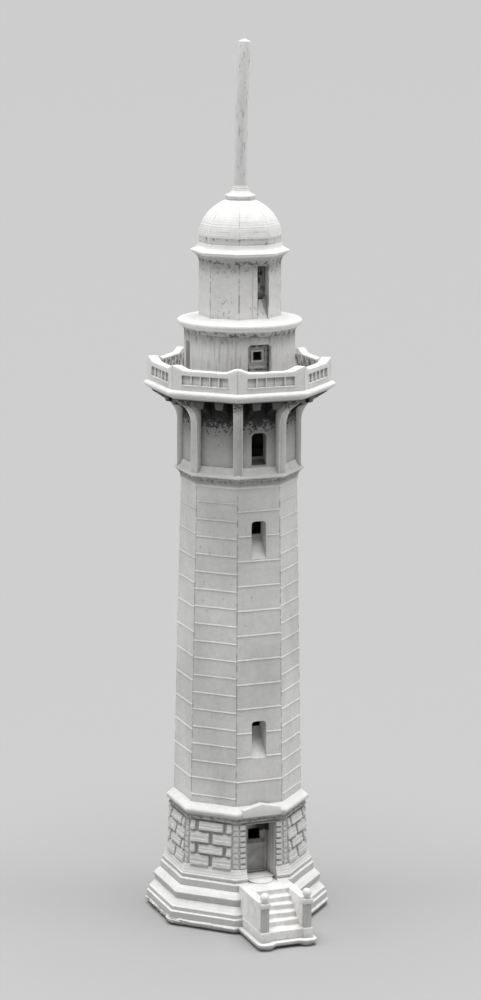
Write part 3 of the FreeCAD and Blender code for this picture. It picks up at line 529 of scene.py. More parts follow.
@resin
def corbel_resin(f):
    """Corbel walls: sooty flecks hanging down from the gallery that close into painted shadow at the
    top, over a wall painted dull grey as shade.
    """
    # Sooty flecks thickening upwards into near-solid painted shadow under the gallery.
    soot_and_shadow = f.larger(f.creep(68.3, 71.9, 1.3, 0.14, ragged=0.8),
                    f.times(f.creep(66.4, 74.0, 2.2, 0.1, shift=5.0, ragged=0.7), 0.9))
    # Painted shade: the whole wall darkened, more towards the gallery above.
    haze = f.plus(f.times(f.level(64.5, 70.5), 0.4), 0.32)
    # Dark window sill in front: dirt, and painted shade under the gallery.
    sill = f.times(f.step(f.absolute(f.x), 1.12, 0.98), f.step(f.y, -5.9, -6.6),
                   f.level(68.2, 67.9), f.step(f.y, -7.3, -7.0), 0.85)
    return f.finish(TONE, f.larger(f.times(soot_and_shadow, 0.95), sill), haze, specks=0.5, reach=1.4,
                    gain=1.3, dark=0.018)


@resin
def pilaster_resin(f):
    """Corner pilasters: painted shade, deeper on the front and back pilasters and under the gallery,
    with painted highlights left on the edges, and sooty flecks at the head that are partly painted
    shadow.
    """
    soot_and_shadow = f.times(f.creep(69.2, 75.6, 1.8, 0.2, shift=4.0, ragged=0.75), 0.85)
    # Painted shade under the gallery.
    under = f.times(f.level(70.6, 72.4), 0.45)
    # Painted highlight: the edges are left undarkened.
    edge = f.step(f.absolute(f.minus(f.corner_distance(), 0.6)), 0.11, 0.03)
    front = f.step(f.absolute(f.x), 4.0, 2.0)
    # Painted shade over the faces, deeper on the front and back pilasters, none on the edges.
    body = f.times(f.minus(1.0, edge), f.plus(f.times(front, 0.24), 0.14))
    return f.finish(TONE, soot_and_shadow, f.plus(under, body), specks=0.4, gain=0.9,
                    reach=1.2)


@resin
def bracket_resin(f):
    """Brackets under the gallery: painted dark grey as shade, nearly black between them as painted
    shadow, mottled a little.
    """
    # Painted shadow: near black towards the wall, between the brackets.
    shadowed_inward = f.step(f.apothem(), 9.95, 9.7)
    patch = f.spots(0.25, 0.6, 2.2, 4.0, shift=1.2)
    return f.finish(TONE * 0.18, f.times(shadowed_inward, f.plus(f.times(patch, 0.16), 0.84)), specks=0.6,
                    gain=1.2, dark=0.012)


@resin
def deck_resin(f):
    """Gallery slab: bright edge, painted shadow on the underside towards the wall, painted shade low
    on the slab.
    """
    shadowed_inward = f.step(f.apothem(), 11.6, 10.9)
    below = f.level(73.4, 73.15)
    # Painted shadow under the slab towards the wall, and painted shade on its lower part.
    return f.finish(TONE * 1.06, f.times(shadowed_inward, below, 0.85), f.times(f.level(73.9, 73.5), 0.3),
                    specks=0.15, gain=0.3)


@resin
def belt_resin(f):
    """Belt course: dirt caught under the nose, in a broken line, over a band of painted shade."""
    under = f.band(61.3, 61.7, 62.1, 62.35)
    flecks = f.times(under, f.spots(0.42, 0.66, 2.2, 4.0, (1, 1, 2.0), 0.7), 0.7)
    # The band under the nose is painted shade.
    return f.finish(TONE, flecks, f.times(f.band(60.9, 61.4, 62.2, 62.42), 0.5), specks=0.2,
                    gain=0.4)


@resin
def base_resin(f):
    """Foot slab and plinth: pale treads and slopes, risers painted darker as shade."""
    # Painted shade on the upright faces.
    return f.finish(TONE, None, f.times(f.upright(), 0.28), specks=0.15, gain=0.5)


@resin
def ground_cornice_resin(f):
    """Cornice and the pediment over the door: painted shade on the upright faces and underneath, dirt
    flecks underneath.
    """
    under = f.level(15.75, 15.2)
    flecks = f.times(f.level(15.5, 15.0), f.spots(0.42, 0.62, 1.7, 5.0, (1, 1, 2.0), 0.7), 0.6)
    # Painted shade under the cornice and on the upright faces.
    return f.finish(TONE * 1.04, flecks, f.larger(f.times(under, 0.42), f.times(f.upright(), 0.28)),
                    specks=0.15, gain=0.3)


@resin
def stone_resin(f):
    """Rough stones and the wall behind them: soft dirt in the joints, painted shade under the cornice
    and at the foot.
    """
    joint = f.times(f.step(f.minus(f.apothem(), f.times(f.z, -0.0412)), 9.42, 9.26),
                    f.step(f.corner_distance(), 0.3, 1.3), 0.36)
    # Painted shade under the cornice and at the foot of the wall.
    top = f.larger(f.times(f.level(13.9, 14.8), 0.4), f.times(f.level(8.0, 7.5), 0.4))
    return f.finish(TONE * 0.85, None, f.plus(joint, top), specks=0.35, gain=0.5, layers=0.15,
                    reach=0.5)


@resin
def parapet_resin(f):
    """Parapet: clean outside, streaked and dark on the inner face, with painted shadow under the rail
    at the top of the sunk lights.
    """
    inner = f.step(f.apothem(), 10.45, 10.3)
    streak = f.spots(0.28, 0.62, 2.2, 4.0, (1, 1, 0.5), shift=3.0)
    # Painted shadow of the rail across the top of the sunk lights.
    shadow_in_lights = f.times(f.step(f.apothem(), 11.36, 11.3), f.step(f.apothem(), 10.9, 11.0),
                    f.band(75.5, 76.3, 76.45, 76.6), 0.4)
    corner = f.times(f.step(f.corner_distance(), 0.16, 0.0), 0.25)
    return f.finish(TONE, f.times(inner, streak, f.level(77.0, 76.7), 0.8),
                    f.plus(shadow_in_lights, corner), specks=0.3,
                    gain=0.55, reach=0.5)


@resin
def drum_resin(f):
    """Watch room: vertical brush streaks, scalloped dirt under the roof, and painted shade darkening
    towards the roof.
    """
    streak = f.times(f.spots(0.46, 0.7, 3.0, 3.0, (1, 1, 0.05), shift=2.0),
                     f.spots(0.3, 0.55, 0.3, 2.0, shift=5.0), 0.3)
    scallop = f.times(f.creep(79.4, 84.0, 1.7, 0.3, (1, 1, 0.5), 7.0), 0.7)
    # Painted shade: darker towards the roof plate above.
    haze = f.plus(f.times(f.level(79.0, 81.4), 0.34), 0.04)
    return f.finish(TONE, f.larger(streak, scallop), haze, specks=0.5, layers=0.5)


@resin
def roof_resin(f):
    """Round roof plate: speckled dirt and painted shade on the underside."""
    below = f.level(82.1, 81.7)
    flecks = f.times(below, f.spots(0.44, 0.62, 1.7, 4.0, shift=2.0), 0.7)
    # Painted shade on the underside.
    return f.finish(TONE, flecks, f.times(below, 0.4), specks=0.2, gain=0.25)


@resin
def lantern_resin(f):
    """Lantern room: dark flecks under the eaves, a seam at each corner, a few scratches, and painted
    shade under the eaves, in the tall opening and on the side walls of its ramp.
    """
    under = f.times(f.creep(87.8, 94.4, 1.3, 0.24, shift=3.0, ragged=0.7), 0.6)
    patch = f.times(f.spots(0.6, 0.68, 2.4, 4.0, (1, 1, 0.6), shift=21.0),
                    f.spots(0.46, 0.6, 0.3, 2.0, shift=23.0), 0.65)
    aside = f.absolute(f.minus(f.x, 1.28))
    mottled = f.times(f.spots(0.62, 0.42, 1.1, 6.0, (1, 1, 0.6), 0.7, 27.0), 0.42)
    # Painted shade in the tall opening, mottled and darker towards its head.
    recess = f.times(f.step(aside, 1.1, 1.0), f.step(f.y, -4.0, -3.9), f.step(f.y, 3.0, 2.0),
                     f.plus(mottled, f.plus(f.times(f.level(86.0, 88.5), 0.32), 0.26)))
    # Painted shade on the side walls of the ramp in the opening.
    over = f.plus(f.times(aside, 1.28), f.times(f.minus(f.z, 83.1), 0.31))
    cheek = f.times(f.step(over, 0.95, 1.1), f.step(f.y, -5.08, -5.0), f.step(f.y, -3.0, -3.6),
                    f.level(86.6, 86.2), f.step(aside, 1.0, 0.8), 0.4)
    # Painted shade darkening towards the eaves, plus the ramp's side walls.
    haze = f.plus(f.plus(f.times(f.level(88.6, 90.6), 0.34), 0.04), cheek)
    seam = f.times(f.seams(0.12, 0.75), f.step(f.apothem(), 4.98, 5.04))
    dirt = f.larger(f.larger(under, seam), f.larger(patch, recess))
    return f.finish(TONE, dirt, haze, specks=0.5, layers=0.4, gain=0.3)


@resin
def eaves_resin(f):
    below = f.level(91.75, 91.5)
    flecks = f.times(f.level(91.3, 90.8), f.spots(0.42, 0.6, 1.9, 4.0, shift=2.0), 0.7)
    # The underside is painted darker as shade; the flecks are dirt.
    return f.finish(TONE, flecks, f.times(below, 0.42), specks=0.2, gain=0.3)


@resin
def dome_resin(f):
    """Dome: dark ribs, faint broken rings and a flecked band at the foot."""
    foot = f.level(94.04, 93.98)
    flecks = f.times(foot, f.spots(0.56, 0.66, 1.5, 4.0, shift=31.0), 0.6)
    rings = f.times(f.spots(0.56, 0.64, 1.0, 2.0, (0.05, 0.05, 3.0), shift=33.0),
                    f.level(97.6, 96.4), f.spots(0.4, 0.6, 0.35, 2.0, shift=35.0), 0.25)
    dirt = f.larger(f.larger(flecks, rings), f.seams(0.1, 0.4))
    return f.finish(TONE * 1.05, dirt, f.times(foot, 0.1), specks=0.2, layers=0.6, gain=0.3)


@resin
def mast_resin(f):
    streak = f.times(f.spots(0.54, 0.7, 2.6, 4.0, (1, 1, 0.25), shift=4.0), 0.32)
    return f.finish(TONE, streak, None, specks=0.6, layers=0.3)


@resin
def stair_resin(f):
    """Treads, risers and landing: the palest resin, with dull patches and painted shade by the door.
    """
    patches = f.times(f.spots(0.42, 0.68, 0.8, 4.0, shift=6.0), 0.12)
    # Painted shade on the landing by the door.
    landing = f.times(f.step(f.y, -11.0, -9.4), 0.1)
    return f.finish(TONE, None, f.plus(patches, landing), specks=0.08, gain=0.22,
                    layers=0.3)


@resin
def post_resin(f):
    """Newel posts: shafts painted greyer as shade, between paler blocks."""
    # Painted shade on the upright shafts; the whole post a little darker.
    shaft = f.times(f.band(2.36, 2.5, 5.6, 5.74), 0.3)
    return f.finish(TONE, None, f.plus(shaft, 0.06), specks=0.2, gain=0.5)


@resin
def watch_door_resin(f):
    """Gallery door and windows: dark dirt round the door's border and pane."""
    door = f.step(f.y, -3.0, -4.0)
    across = f.step(f.absolute(f.x), 1.22, 1.5)
    head = f.level(79.45, 79.9)
    foot = f.step(f.absolute(f.minus(f.z, 76.72)), 0.2, 0.05)
    pane = f.times(f.step(f.absolute(f.minus(f.absolute(f.x), 1.02)), 0.12, 0.02),
                   f.level(77.5, 77.8))
    broken = f.plus(f.times(f.spots(0.35, 0.6, 1.8, 4.0, shift=2.0), 0.7), 0.25)
    dirt = f.times(f.larger(f.larger(across, head), f.larger(foot, pane)), broken, door)
    return f.finish(TONE * 0.72, dirt, None, specks=0.5, gain=1.6, reach=0.7, dark=0.02)


@resin
def door_resin(f):
    """Entrance door and its reveal: leaf painted darker as shade, a painted shadow band across the
    leaf, painted shade up the reveal, and dark blotches in the upper corner.
    """
    leaf = f.step(f.absolute(f.x), 1.62, 1.5)
    haze = f.times(f.spots(0.3, 0.7, 0.7, 3.0, shift=3.0), leaf, 0.2)
    # Painted shadow band across the leaf.
    rail = f.times(f.band(10.75, 10.95, 11.35, 11.55), leaf, 0.32)
    # Painted shade on the reveal, darker towards the top.
    high = f.times(f.level(7.5, 13.5), f.minus(1.0, leaf), 0.34)
    # Dark blotches in the upper corner of the doorway.
    grime_and_shadow = f.times(f.creep(12.0, 13.3, 1.5, 0.2, shift=9.0, ragged=0.7), f.step(f.x, -1.2, 0.6),
                    f.step(f.y, -7.3, -7.0), 0.95)
    # Mottled patches on the leaf, with painted shade and shadow on the leaf and reveal.
    shadow = f.plus(f.plus(haze, rail), f.plus(high, f.times(leaf, 0.24)))
    return f.finish(TONE * 0.8, grime_and_shadow, shadow, specks=0.3, gain=0.85, reach=1.0)


# ---- base and plinth


def rough_edge(point, seed):
    """Chips and ridges in the foot slab's edge, worst on its left side."""
    coarse = noise.noise(point * 0.9 + Vector((seed, 0, 0)))
    fine = noise.noise(point * 2.6 + Vector((0, seed, 0)))
    ridge = ripple(point.x * 0.5, point.y * 0.5, point.z * 6.0 + point.x * 1.2)
    left = share_of((-9.6 - point.x) / 0.8)
    return (0.4 + 1.5 * left) * (0.13 * coarse + 0.09 * fine + 0.09 * ridge) - 0.08 * left


def slab_octagon():
    outer = [(10.6, 0.0), (11.1, 0.0), (11.5, 0.2), (11.8, 0.5), (11.93, 0.78), (11.87, 0.95),
             (11.5, 1.24), (10.9, 1.26)]
    face = spaced(rounded(outer, 0.07), 0.11)
    outline = [(0.0, 0.0)] + face + [(0.0, 1.26)]
    rows = []
    stations = [i / 56 for i in range(57)]
    for apothem, z in outline:
        points = []
        for point in octagon_row(apothem, z, 0.3, stations):
            if apothem > 11.0 and z > 0.02:
                shift = rough_edge(point, 3.0)
                point += Vector((point.x, point.y, 0)).normalized() * min(shift, 0.1)
                if 0.8 < z < 1.2:
                    point.z += min(0.0, 0.5 * shift)
            points.append(point)
        rows.append(points)
    return loft(rows, False)


def apron_outline(inset, front_inset):
    side = 4.3 - inset
    front = -19.0 + front_inset
    pad = -19.5 + inset
    half = rounded([(side, -8.0), (side, pad + 0.6), (side - 0.6, pad), (2.35, pad), (1.75, front),
                    (0.0, front)], 0.35, 4)
    return half + [(-x, y) for x, y in reversed(half[:-1])]


def apron():
    """Slab under the stairs, wavy along its front edge."""
    levels = [(0.5, 0.95, 0.0), (0.32, 0.6, 0.2), (0.12, 0.2, 0.42), (0.02, 0.03, 0.6),
              (0.0, 0.0, 0.78), (0.03, 0.03, 0.9), (0.12, 0.12, 0.98)]
    rows = []
    for inset, front_inset, z in levels:
        ring = spaced(apron_outline(inset, front_inset), 0.3)
        rows.append([Vector((x, y, z)) for x, y in ring])
    count = min(len(row) for row in rows)
    rows = [[row[round(i * (len(row) - 1) / (count - 1))] for i in range(count)] for row in rows]
    for row in rows:
        for point in row:
            shift = wobble(point, 0.06, 1.6, 5.0)
            point.x += shift.x
            point.y = max(point.y + shift.y, -19.49)
    return loft(rows, False)


def build_base(resin):
    extra = mesh_of("apron", apron())
    mesh = merged(mesh_of("base_slab", slab_octagon()), extra)
    adopt("base_slab_cast", mesh, ["base_slab"], resin)


def terraced(outline, depth, pitch, low, high):
    """Faint level steps on a slope between two heights, as a layered master leaves them."""
    out = []
    for apothem, z in outline:
        if low < z < high:
            part = z / pitch + 0.35 * ripple(z * 0.9, 7, 0)
            apothem -= depth * (part - math.floor(part))
        out.append((apothem, z))
    return out


def build_plinth(resin):
    step = [(11.0, 0.96), (11.68, 0.98), (11.68, 1.98), (11.46, 2.1), (11.41, 2.62), (11.2, 2.82),
            (10.62, 3.55), (10.2, 3.55)]
    torus = [(10.2, 3.5), (10.56, 3.52), (10.80, 4.42), (10.78, 4.56), (10.40, 5.04), (9.97, 5.37),
             (9.6, 5.37)]
    cap = [(9.6, 5.32), (9.95, 5.34), (9.90, 6.3), (9.66, 6.42), (9.60, 6.55), (9.69, 6.68),
           (9.68, 6.98), (9.56, 7.1), (9.12, 8.2), (8.8, 8.2)]
    for name, outer, top, seed, slope in (
            ("plinth_step", step, 3.0, 1.0, (2.75, 3.5)),
            ("plinth_torus", torus, 5.0, 2.0, (4.62, 5.3)),
            ("plinth_cap", cap, 6.0, 3.0, (7.1, 8.15))):
        face = terraced(spaced(rounded(outer, 0.06), 0.07), 0.016, 0.36, *slope)
        outline = face + [(5.0, face[-1][1]), (5.0, face[0][1])]
        mesh = mesh_of(name, octagon_mesh(outline, True, 0.18, amount=0.035, size=2.2, seed=seed))
        cutters = [box_mesh(-2.15, 2.15, -30, -3, 6.25, 9.5)] if name == "plinth_cap" else []
        cutters.append(box_mesh(-3.5, 3.5, -30, -9.7, 0, top))
        adopt(name + "_cast", carved(mesh, cutters), [name], resin)


# ---- masonry of the ground storey


def ground_apothem(z):
    share = (z - PLINTH_TOP) / (GROUND_TOP - PLINTH_TOP)
    return GROUND_LOW_APOTHEM + share * (GROUND_HIGH_APOTHEM - GROUND_LOW_APOTHEM)


def rise(distance, reach):
    """Quarter-round rise from an edge."""
    t = share_of(distance / reach)
    return math.sqrt(max(0.0, 1 - (1 - t) ** 2))


def stone(bm, angle, s0, s1, z0, z1, proud, seed, ledges=(0.36, 0.7), edge=0.2, grid=0.1):
    """One rough stone on a side: soft edges, an uneven face and ledges left by the tool."""
    outward, along = heading(angle), heading(angle + math.pi / 2)
    columns = max(4, round((s1 - s0) / grid))
    levels = max(5, round((z1 - z0) / (0.7 * grid)))
    verts = []
    for j in range(levels + 1):
        row = []
        for i in range(columns + 1):
            s = s0 + (s1 - s0) * i / columns
            z = z0 + (z1 - z0) * j / levels
            place = Vector((s * 1.1 + seed, z * 1.1, seed * 0.37))
            lift = proud * min(rise(s - s0, edge), rise(s1 - s, edge), rise(z - z0, 0.4 * edge),
                               rise(z1 - z, edge))
            if 0 < i < columns and 0 < j < levels:
                lift += 0.05 * noise.noise(place * 1.3) + 0.03 * noise.noise(place * 4.0)
            wander = 0.07 * ripple(s * 0.9 + seed, seed, 0)
            for number, ledge in enumerate(ledges):
                break_at = z0 + (z1 - z0) * (ledge + wander + 0.05 * math.sin(seed * (3 + number)))
                lift -= 0.085 * share_of((z - break_at) / 0.07 + 0.5) * min(1, lift * 6 + 0.1)
            s += 0.03 * noise.noise(place * 1.7 + Vector((9, 0, 0)))
            z += 0.03 * noise.noise(place * 1.7 + Vector((0, 9, 0)))
            out = ground_apothem(z) - 0.03 + max(0.0, lift)
            row.append(bm.verts.new(outward * out + along * s + Vector((0, 0, z))))
        verts.append(row)
    for lower, upper in zip(verts, verts[1:]):
        for i in range(columns):
            bm.faces.new((lower[i], lower[i + 1], upper[i + 1], upper[i]))
    border = (verts[0] + [row[-1] for row in verts[1:]] + verts[-1][-2::-1]
              + [row[0] for row in verts[-2:0:-1]])
    back = [bm.verts.new(vert.co - outward * 0.15) for vert in border]
    count = len(border)
    for i in range(count):
        j = (i + 1) % count
        bm.faces.new((border[j], border[i], back[i], back[j]))
    bm.faces.new(back)


COURSES = ((8.22, 9.78), (10.02, 11.28), (11.52, 12.98), (13.27, 14.5))
FIELD = 3.14
JOINT_AT = 2.08
JOINT = 0.2
QUOIN_FIRST = 8.28
QUOIN_PITCH = 0.78
QUOIN_HEIGHT = 0.62


def stone_piece(name, node, fill, resin):
    bm = bmesh.new()
    fill(bm)
    adopt(name, mesh_of(node, bm, clean=False), [node], resin)


def fill_blocks(bm):
    for side in range(SIDES):
        if side == ENTRANCE_SIDE:
            continue
        for course, (z0, z1) in enumerate(COURSES):
            joints = [0] if course % 2 == 0 else [-JOINT_AT, JOINT_AT]
            starts = [-FIELD] + [joint + JOINT for joint in joints]
            ends = [joint - JOINT for joint in joints] + [FIELD]
            for index, (s0, s1) in enumerate(zip(starts, ends)):
                seed = side * 13.7 + course * 5.3 + index * 2.9
                stone(bm, side * TURN, s0, s1, z0, z1, 0.46, seed)


def fill_quoins(bm):
    for side in range(SIDES):
        for level in range(8):
            z0 = QUOIN_FIRST + level * QUOIN_PITCH
            corner = ground_apothem(z0) * TAN_HALF
            for sign in (-1, 1):
                low, high = sorted((sign * (corner - 0.36), sign * (corner + 0.09)))
                height = QUOIN_HEIGHT + (0.06 if level % 2 else -0.06)
                stone(bm, side * TURN, low, high, z0, z0 + height, 0.2,
                      side * 7.1 + level * 3.3 + sign, (), 0.14)


def fill_jambs(bm):
    for level in range(8):
        z0 = QUOIN_FIRST + level * QUOIN_PITCH
        for low, high in ((2.2, 3.12), (-3.12, -2.2)):
            height = QUOIN_HEIGHT + (0.05 if level % 2 else -0.08)
            stone(bm, ENTRANCE_SIDE * TURN, low, high, z0, z0 + height, 0.3, level * 4.1 + low,
                  (), 0.14)


def build_ground_storey(resin, base, cornice, door):
    stone_piece("rustic_stones", "rustic_blocks", fill_blocks, resin)
    stone_piece("corner_stones", "corner_quoins", fill_quoins, resin)
    stone_piece("doorway_stones", "jamb_stones", fill_jambs, resin)
    kept("ground_wall", resin)
    softened("entrance_frame", door, 0.03)
    softened("entrance_door", door, 0.03)
    softened("door_step", base, 0.08)
    softened("entrance_pediment", base, 0.06)
    outer = [(8.4, 14.7), (8.84, 14.72), (8.86, 15.0), (8.70, 15.08), (8.70, 15.24), (8.86, 15.46),
             (9.08, 15.6), (9.19, 15.86), (9.08, 16.15), (8.62, 16.55), (8.20, 16.93), (7.9, 16.97)]
    moulded("ground_cornice", moulding(outer, BORE, 0.06, 0.22), True, cornice, "trim_resin", 0.15,
            seed=4.0)


# ---- stairs


TREAD = 0.9
RISER = 0.8
FLIGHT_HALF = 2.45


def flight_mesh():
    """Steps with worn, rolled nosings that wander a little from side to side."""
    outline = [(-9.5, 0.96), (-18.3, 0.96), (-18.3, 2.3)]
    y, z = -16.6, 2.3
    for _ in range(5):
        outline += [(y, z), (y, z + RISER)]
        y += TREAD
        z += RISER
    outline.append((-9.5, 6.3))
    profile = spaced(rounded(outline, 0.16, 4), 0.25)
    rows = []
    for i in range(25):
        x = -FLIGHT_HALF + 2 * FLIGHT_HALF * i / 24
        row = []
        for py, pz in profile:
            shift = 0.05 * ripple(x * 0.8, py * 1.4, pz)
            lift = 0.06 * ripple(x * 0.9 + 4.0, py * 1.2, pz)
            if pz < 1.5:
                shift = lift = 0.0
            row.append(Vector((x, py + shift, pz + lift)))
        rows.append(row)
    return mesh_of("stair_flight", loft(rows, False, (1, -1)))


def ball_mesh(node, centre, radius, seed):
    """Ball finial on a short neck, slightly out of round."""
    bm = bmesh.new()
    bmesh.ops.create_icosphere(bm, subdivisions=4, radius=radius)
    bmesh.ops.translate(bm, vec=centre, verts=bm.verts)
    shaken(bm, 0.05, 0.7, seed)
    ball = mesh_of(node, bm)
    foot = centre.z - 0.76
    neck = [(0.0, foot), (0.42, foot), (0.36, foot + 0.12), (0.33, foot + 0.3), (0.0, foot + 0.3)]
    bm = round_mesh(spaced(rounded(neck, 0.04), 0.1), False, 0.01, 1.0, seed)
    bmesh.ops.translate(bm, vec=(centre.x, centre.y, 0), verts=bm.verts)
    return merged(ball, mesh_of(node + "_neck", bm))


def build_stairs(resin, stair, post):
    adopt("stair_flight_cast", flight_mesh(), ["stair_flight"], stair)
    for name, side in (("left", -1), ("right", 1)):
        softened("stair_cheek_" + name, stair, 0.06, 0.02, side + 2.0)
        softened("newel_post_" + name, post, 0.06, 0.02, side + 4.0)
        centre = Vector((side * 3.06, -18.02, 7.15))
        adopt("newel_ball_%s_cast" % name, ball_mesh("newel_ball_" + name, centre, 0.64, side + 9.0),
              ["newel_ball_" + name], resin)


# ---- shaft


AXIS_TOP, AXIS_PITCH = 57.75, 3.4
DIAGONAL_TOP, DIAGONAL_PITCH = 58.82, 2.4
LIP = 0.09
WINDOW_SILLS = (51.25, 23.6)
WINDOW_HEIGHT = 5.07
WINDOW_HALF = 1.06
SILL_SLOPE = 1.85 / 1.3


def ledge_levels(top, pitch):
    levels = []
    while top > SHAFT_BOTTOM + pitch / 4:
        levels.append(top)
        top -= pitch
    return levels[::-1]


def shaft_apothem(z):
    share = (z - SHAFT_BOTTOM) / (SHAFT_TOP - SHAFT_BOTTOM)
    return SHAFT_LOW_APOTHEM + share * (SHAFT_HIGH_APOTHEM - SHAFT_LOW_APOTHEM)


def course_face(z, ledges, pitch):
    """Distance of a shaft side from the axis: upright courses under small proud lips."""
    for ledge in ledges:
        if z <= ledge - 0.07:
            return shaft_apothem(max(ledge - pitch / 2, SHAFT_BOTTOM))
        if z <= ledge + 0.09:
            share = (z - ledge + 0.07) / 0.16
            low = shaft_apothem(max(ledge - pitch / 2, SHAFT_BOTTOM)) + LIP
            high = shaft_apothem(min(ledge + pitch / 2, SHAFT_TOP))
            return low + share * (high - low)
    return shaft_apothem(min(ledges[-1] + pitch / 2, SHAFT_TOP))


def window_cutter(face, sill):
    """Solid of a window opening: rounded head, level jambs and a sill that slopes up inside."""
    half, head = WINDOW_HALF, sill + WINDOW_HEIGHT
    outline = rounded([(half, 0.0), (half, head), (-half, head), (-half, 0.0)], 0.55, 5)
    rows = []
    for y in (-face - 2.0, -BORE + 1.0):
        floor = sill + (y + face) * SILL_SLOPE
        rows.append([Vector((x, y, floor if z < 1.0 else max(z, floor + 0.2))) for x, z in outline])
    return loft(rows, False)


def build_shaft(resin):
    axis = ledge_levels(AXIS_TOP, AXIS_PITCH)
    diagonal = ledge_levels(DIAGONAL_TOP, DIAGONAL_PITCH)
    levels = set()
    for ledge in axis + diagonal:
        levels.update((ledge - 0.075, ledge - 0.065, ledge + 0.02, ledge + 0.09))
    z = SHAFT_BOTTOM
    while z < SHAFT_TOP:
        if min(abs(z - level) for level in levels) > 0.1:
            levels.add(z)
        z += 0.5
    levels = sorted(level for level in levels if SHAFT_BOTTOM < level < SHAFT_TOP)
    levels = [SHAFT_BOTTOM] + levels + [SHAFT_TOP]
    rows = []
    for z in levels:
        apothems = [course_face(z, axis, AXIS_PITCH) if side % 2 == 0
                    else course_face(z, diagonal, DIAGONAL_PITCH) for side in range(SIDES)]
        row = octagon_level(apothems, 0.10, CORNER_STATIONS)
        rows.append([point + Vector((0, 0, z)) for point in row])
    rows = wobbled(rows, 0.035, 3.0, 6.0)
    rows += [octagon_row(BORE - 0.45, z, 0.1, CORNER_STATIONS) for z in (SHAFT_TOP, SHAFT_BOTTOM)]
    mesh = mesh_of("tower_shaft", loft(rows, True))
    cutters = [window_cutter(shaft_apothem(sill + 2.5), sill) for sill in WINDOW_SILLS]
    adopt("tower_shaft_cast", carved(mesh, cutters), ["tower_shaft"], resin)


# ---- belt, corbels and gallery


def build_corbels(belt, wall, pilaster, bracket, deck):
    outer = [(7.1, 60.8), (7.42, 60.82), (7.42, 61.4), (7.62, 61.88), (8.06, 62.28), (8.17, 62.44),
             (8.08, 62.6), (7.6, 62.98), (7.32, 63.68), (7.0, 63.72)]
    moulded("belt_course", moulding(outer, BORE, 0.05, 0.2), True, belt, "trim_resin", seed=7.0)
    softened("corbel_storey", wall, 0.05)
    for index in range(1, 9):
        softened("corner_pilaster_%d" % index, pilaster, 0.07)
    softened("gallery_brackets", bracket, 0.07)
    outer = [(10.4, 73.02), (11.0, 73.05), (11.86, 73.66), (12.06, 73.92), (11.96, 74.2),
             (11.5, 74.4), (11.0, 74.43)]
    moulded("gallery_deck", moulding(outer, BORE, 0.08, 0.2), True, deck, "trim_resin", 0.2,
            amount=0.04, seed=8.0)


PARAPET_OUTER = 11.45
PARAPET_INNER = 10.2
RAIL_LOW = 77.05
RAIL_RISE = 0.57
RAMP = 1.35
LIGHTS_HALF = 3.35
LIGHTS_LOW, LIGHTS_HIGH = 75.15, 76.4
BAR_PITCH = 1.34


def placed(bm, side):
    """Turns a shape made for the entrance side (towards -Y) to another side."""
    turn = Matrix.Rotation((side - ENTRANCE_SIDE) * TURN, 4, "Z")
    bmesh.ops.transform(bm, matrix=turn, verts=bm.verts)
    return bm


def rail_rise(point):
    """How far the rail ramps up at a point, towards the nearest corner."""
    side = round(math.atan2(point.y, point.x) / TURN)
    along = abs(point.dot(heading(side * TURN + math.pi / 2)))
    out = point.dot(heading(side * TURN))
    return RAIL_RISE * share_of(1.2 - (out * TAN_HALF - along) / RAMP)


def uneven_bar(x0, x1, y0, y1, z0, z1, amount, seed):
    """Bar with worn edges whose front wanders a little."""
    bm = box_mesh(x0, x1, y0, y1, z0, z1)
    bmesh.ops.subdivide_edges(bm, edges=bm.edges, cuts=3, use_grid_fill=True)
    rolled(bm, [edge for edge in bm.edges if edge.calc_face_angle(0) > 1], 0.04)
    shaken(bm, amount, 0.6, seed)
    return bm


def parapet_mesh():
    """The whole parapet: rail peaked at the corners, and a row of sunk lights on each side."""
    section = [(PARAPET_OUTER, 74.38, 0), (PARAPET_OUTER, 75.0, 0), (PARAPET_OUTER, 76.7, 0.6),
               (PARAPET_OUTER, 76.95, 1), (PARAPET_OUTER - 0.03, 77.02, 1),
               (PARAPET_OUTER - 0.1, RAIL_LOW, 1), (PARAPET_INNER + 0.1, RAIL_LOW, 1),
               (PARAPET_INNER + 0.03, 77.02, 1), (PARAPET_INNER, 76.95, 1), (PARAPET_INNER, 75.0, 0),
               (PARAPET_INNER, 74.38, 0)]
    stations = sorted(set(CORNER_STATIONS + [0.1, 0.12, 0.16, 0.84, 0.88, 0.9]))
    rows = []
    for apothem, z, share in section:
        row = octagon_level([apothem] * SIDES, 0.12, stations)
        rows.append([point + Vector((0, 0, z + share * rail_rise(point))) for point in row])
    mesh = mesh_of("parapet", loft(wobbled(rows, 0.03, 1.6, 21.0), True))
    back = PARAPET_OUTER - 0.3
    cutters = [placed(box_mesh(-LIGHTS_HALF, LIGHTS_HALF, -12.5, -back, LIGHTS_LOW,
                              LIGHTS_HIGH), side)
               for side in range(SIDES)]
    parts = []
    for side in range(SIDES):
        bars = [uneven_bar(-3.45, 3.45, -11.56, -back + 0.1, 75.02, 75.16, 0.05, side)]
        for number in range(1, 5):
            x = number * BAR_PITCH - LIGHTS_HALF
            worn = ripple(side * 3.1, number * 1.7, 0)
            front = -11.42 + 0.12 * max(0.0, worn * 2)
            bars.append(uneven_bar(x - 0.1, x + 0.1, front, -back + 0.1, 75.1, 76.45, 0.04,
                                   side + number * 0.3))
        parts += [mesh_of("bar", placed(bar, side)) for bar in bars]
    return merged(carved(mesh, cutters), *parts)


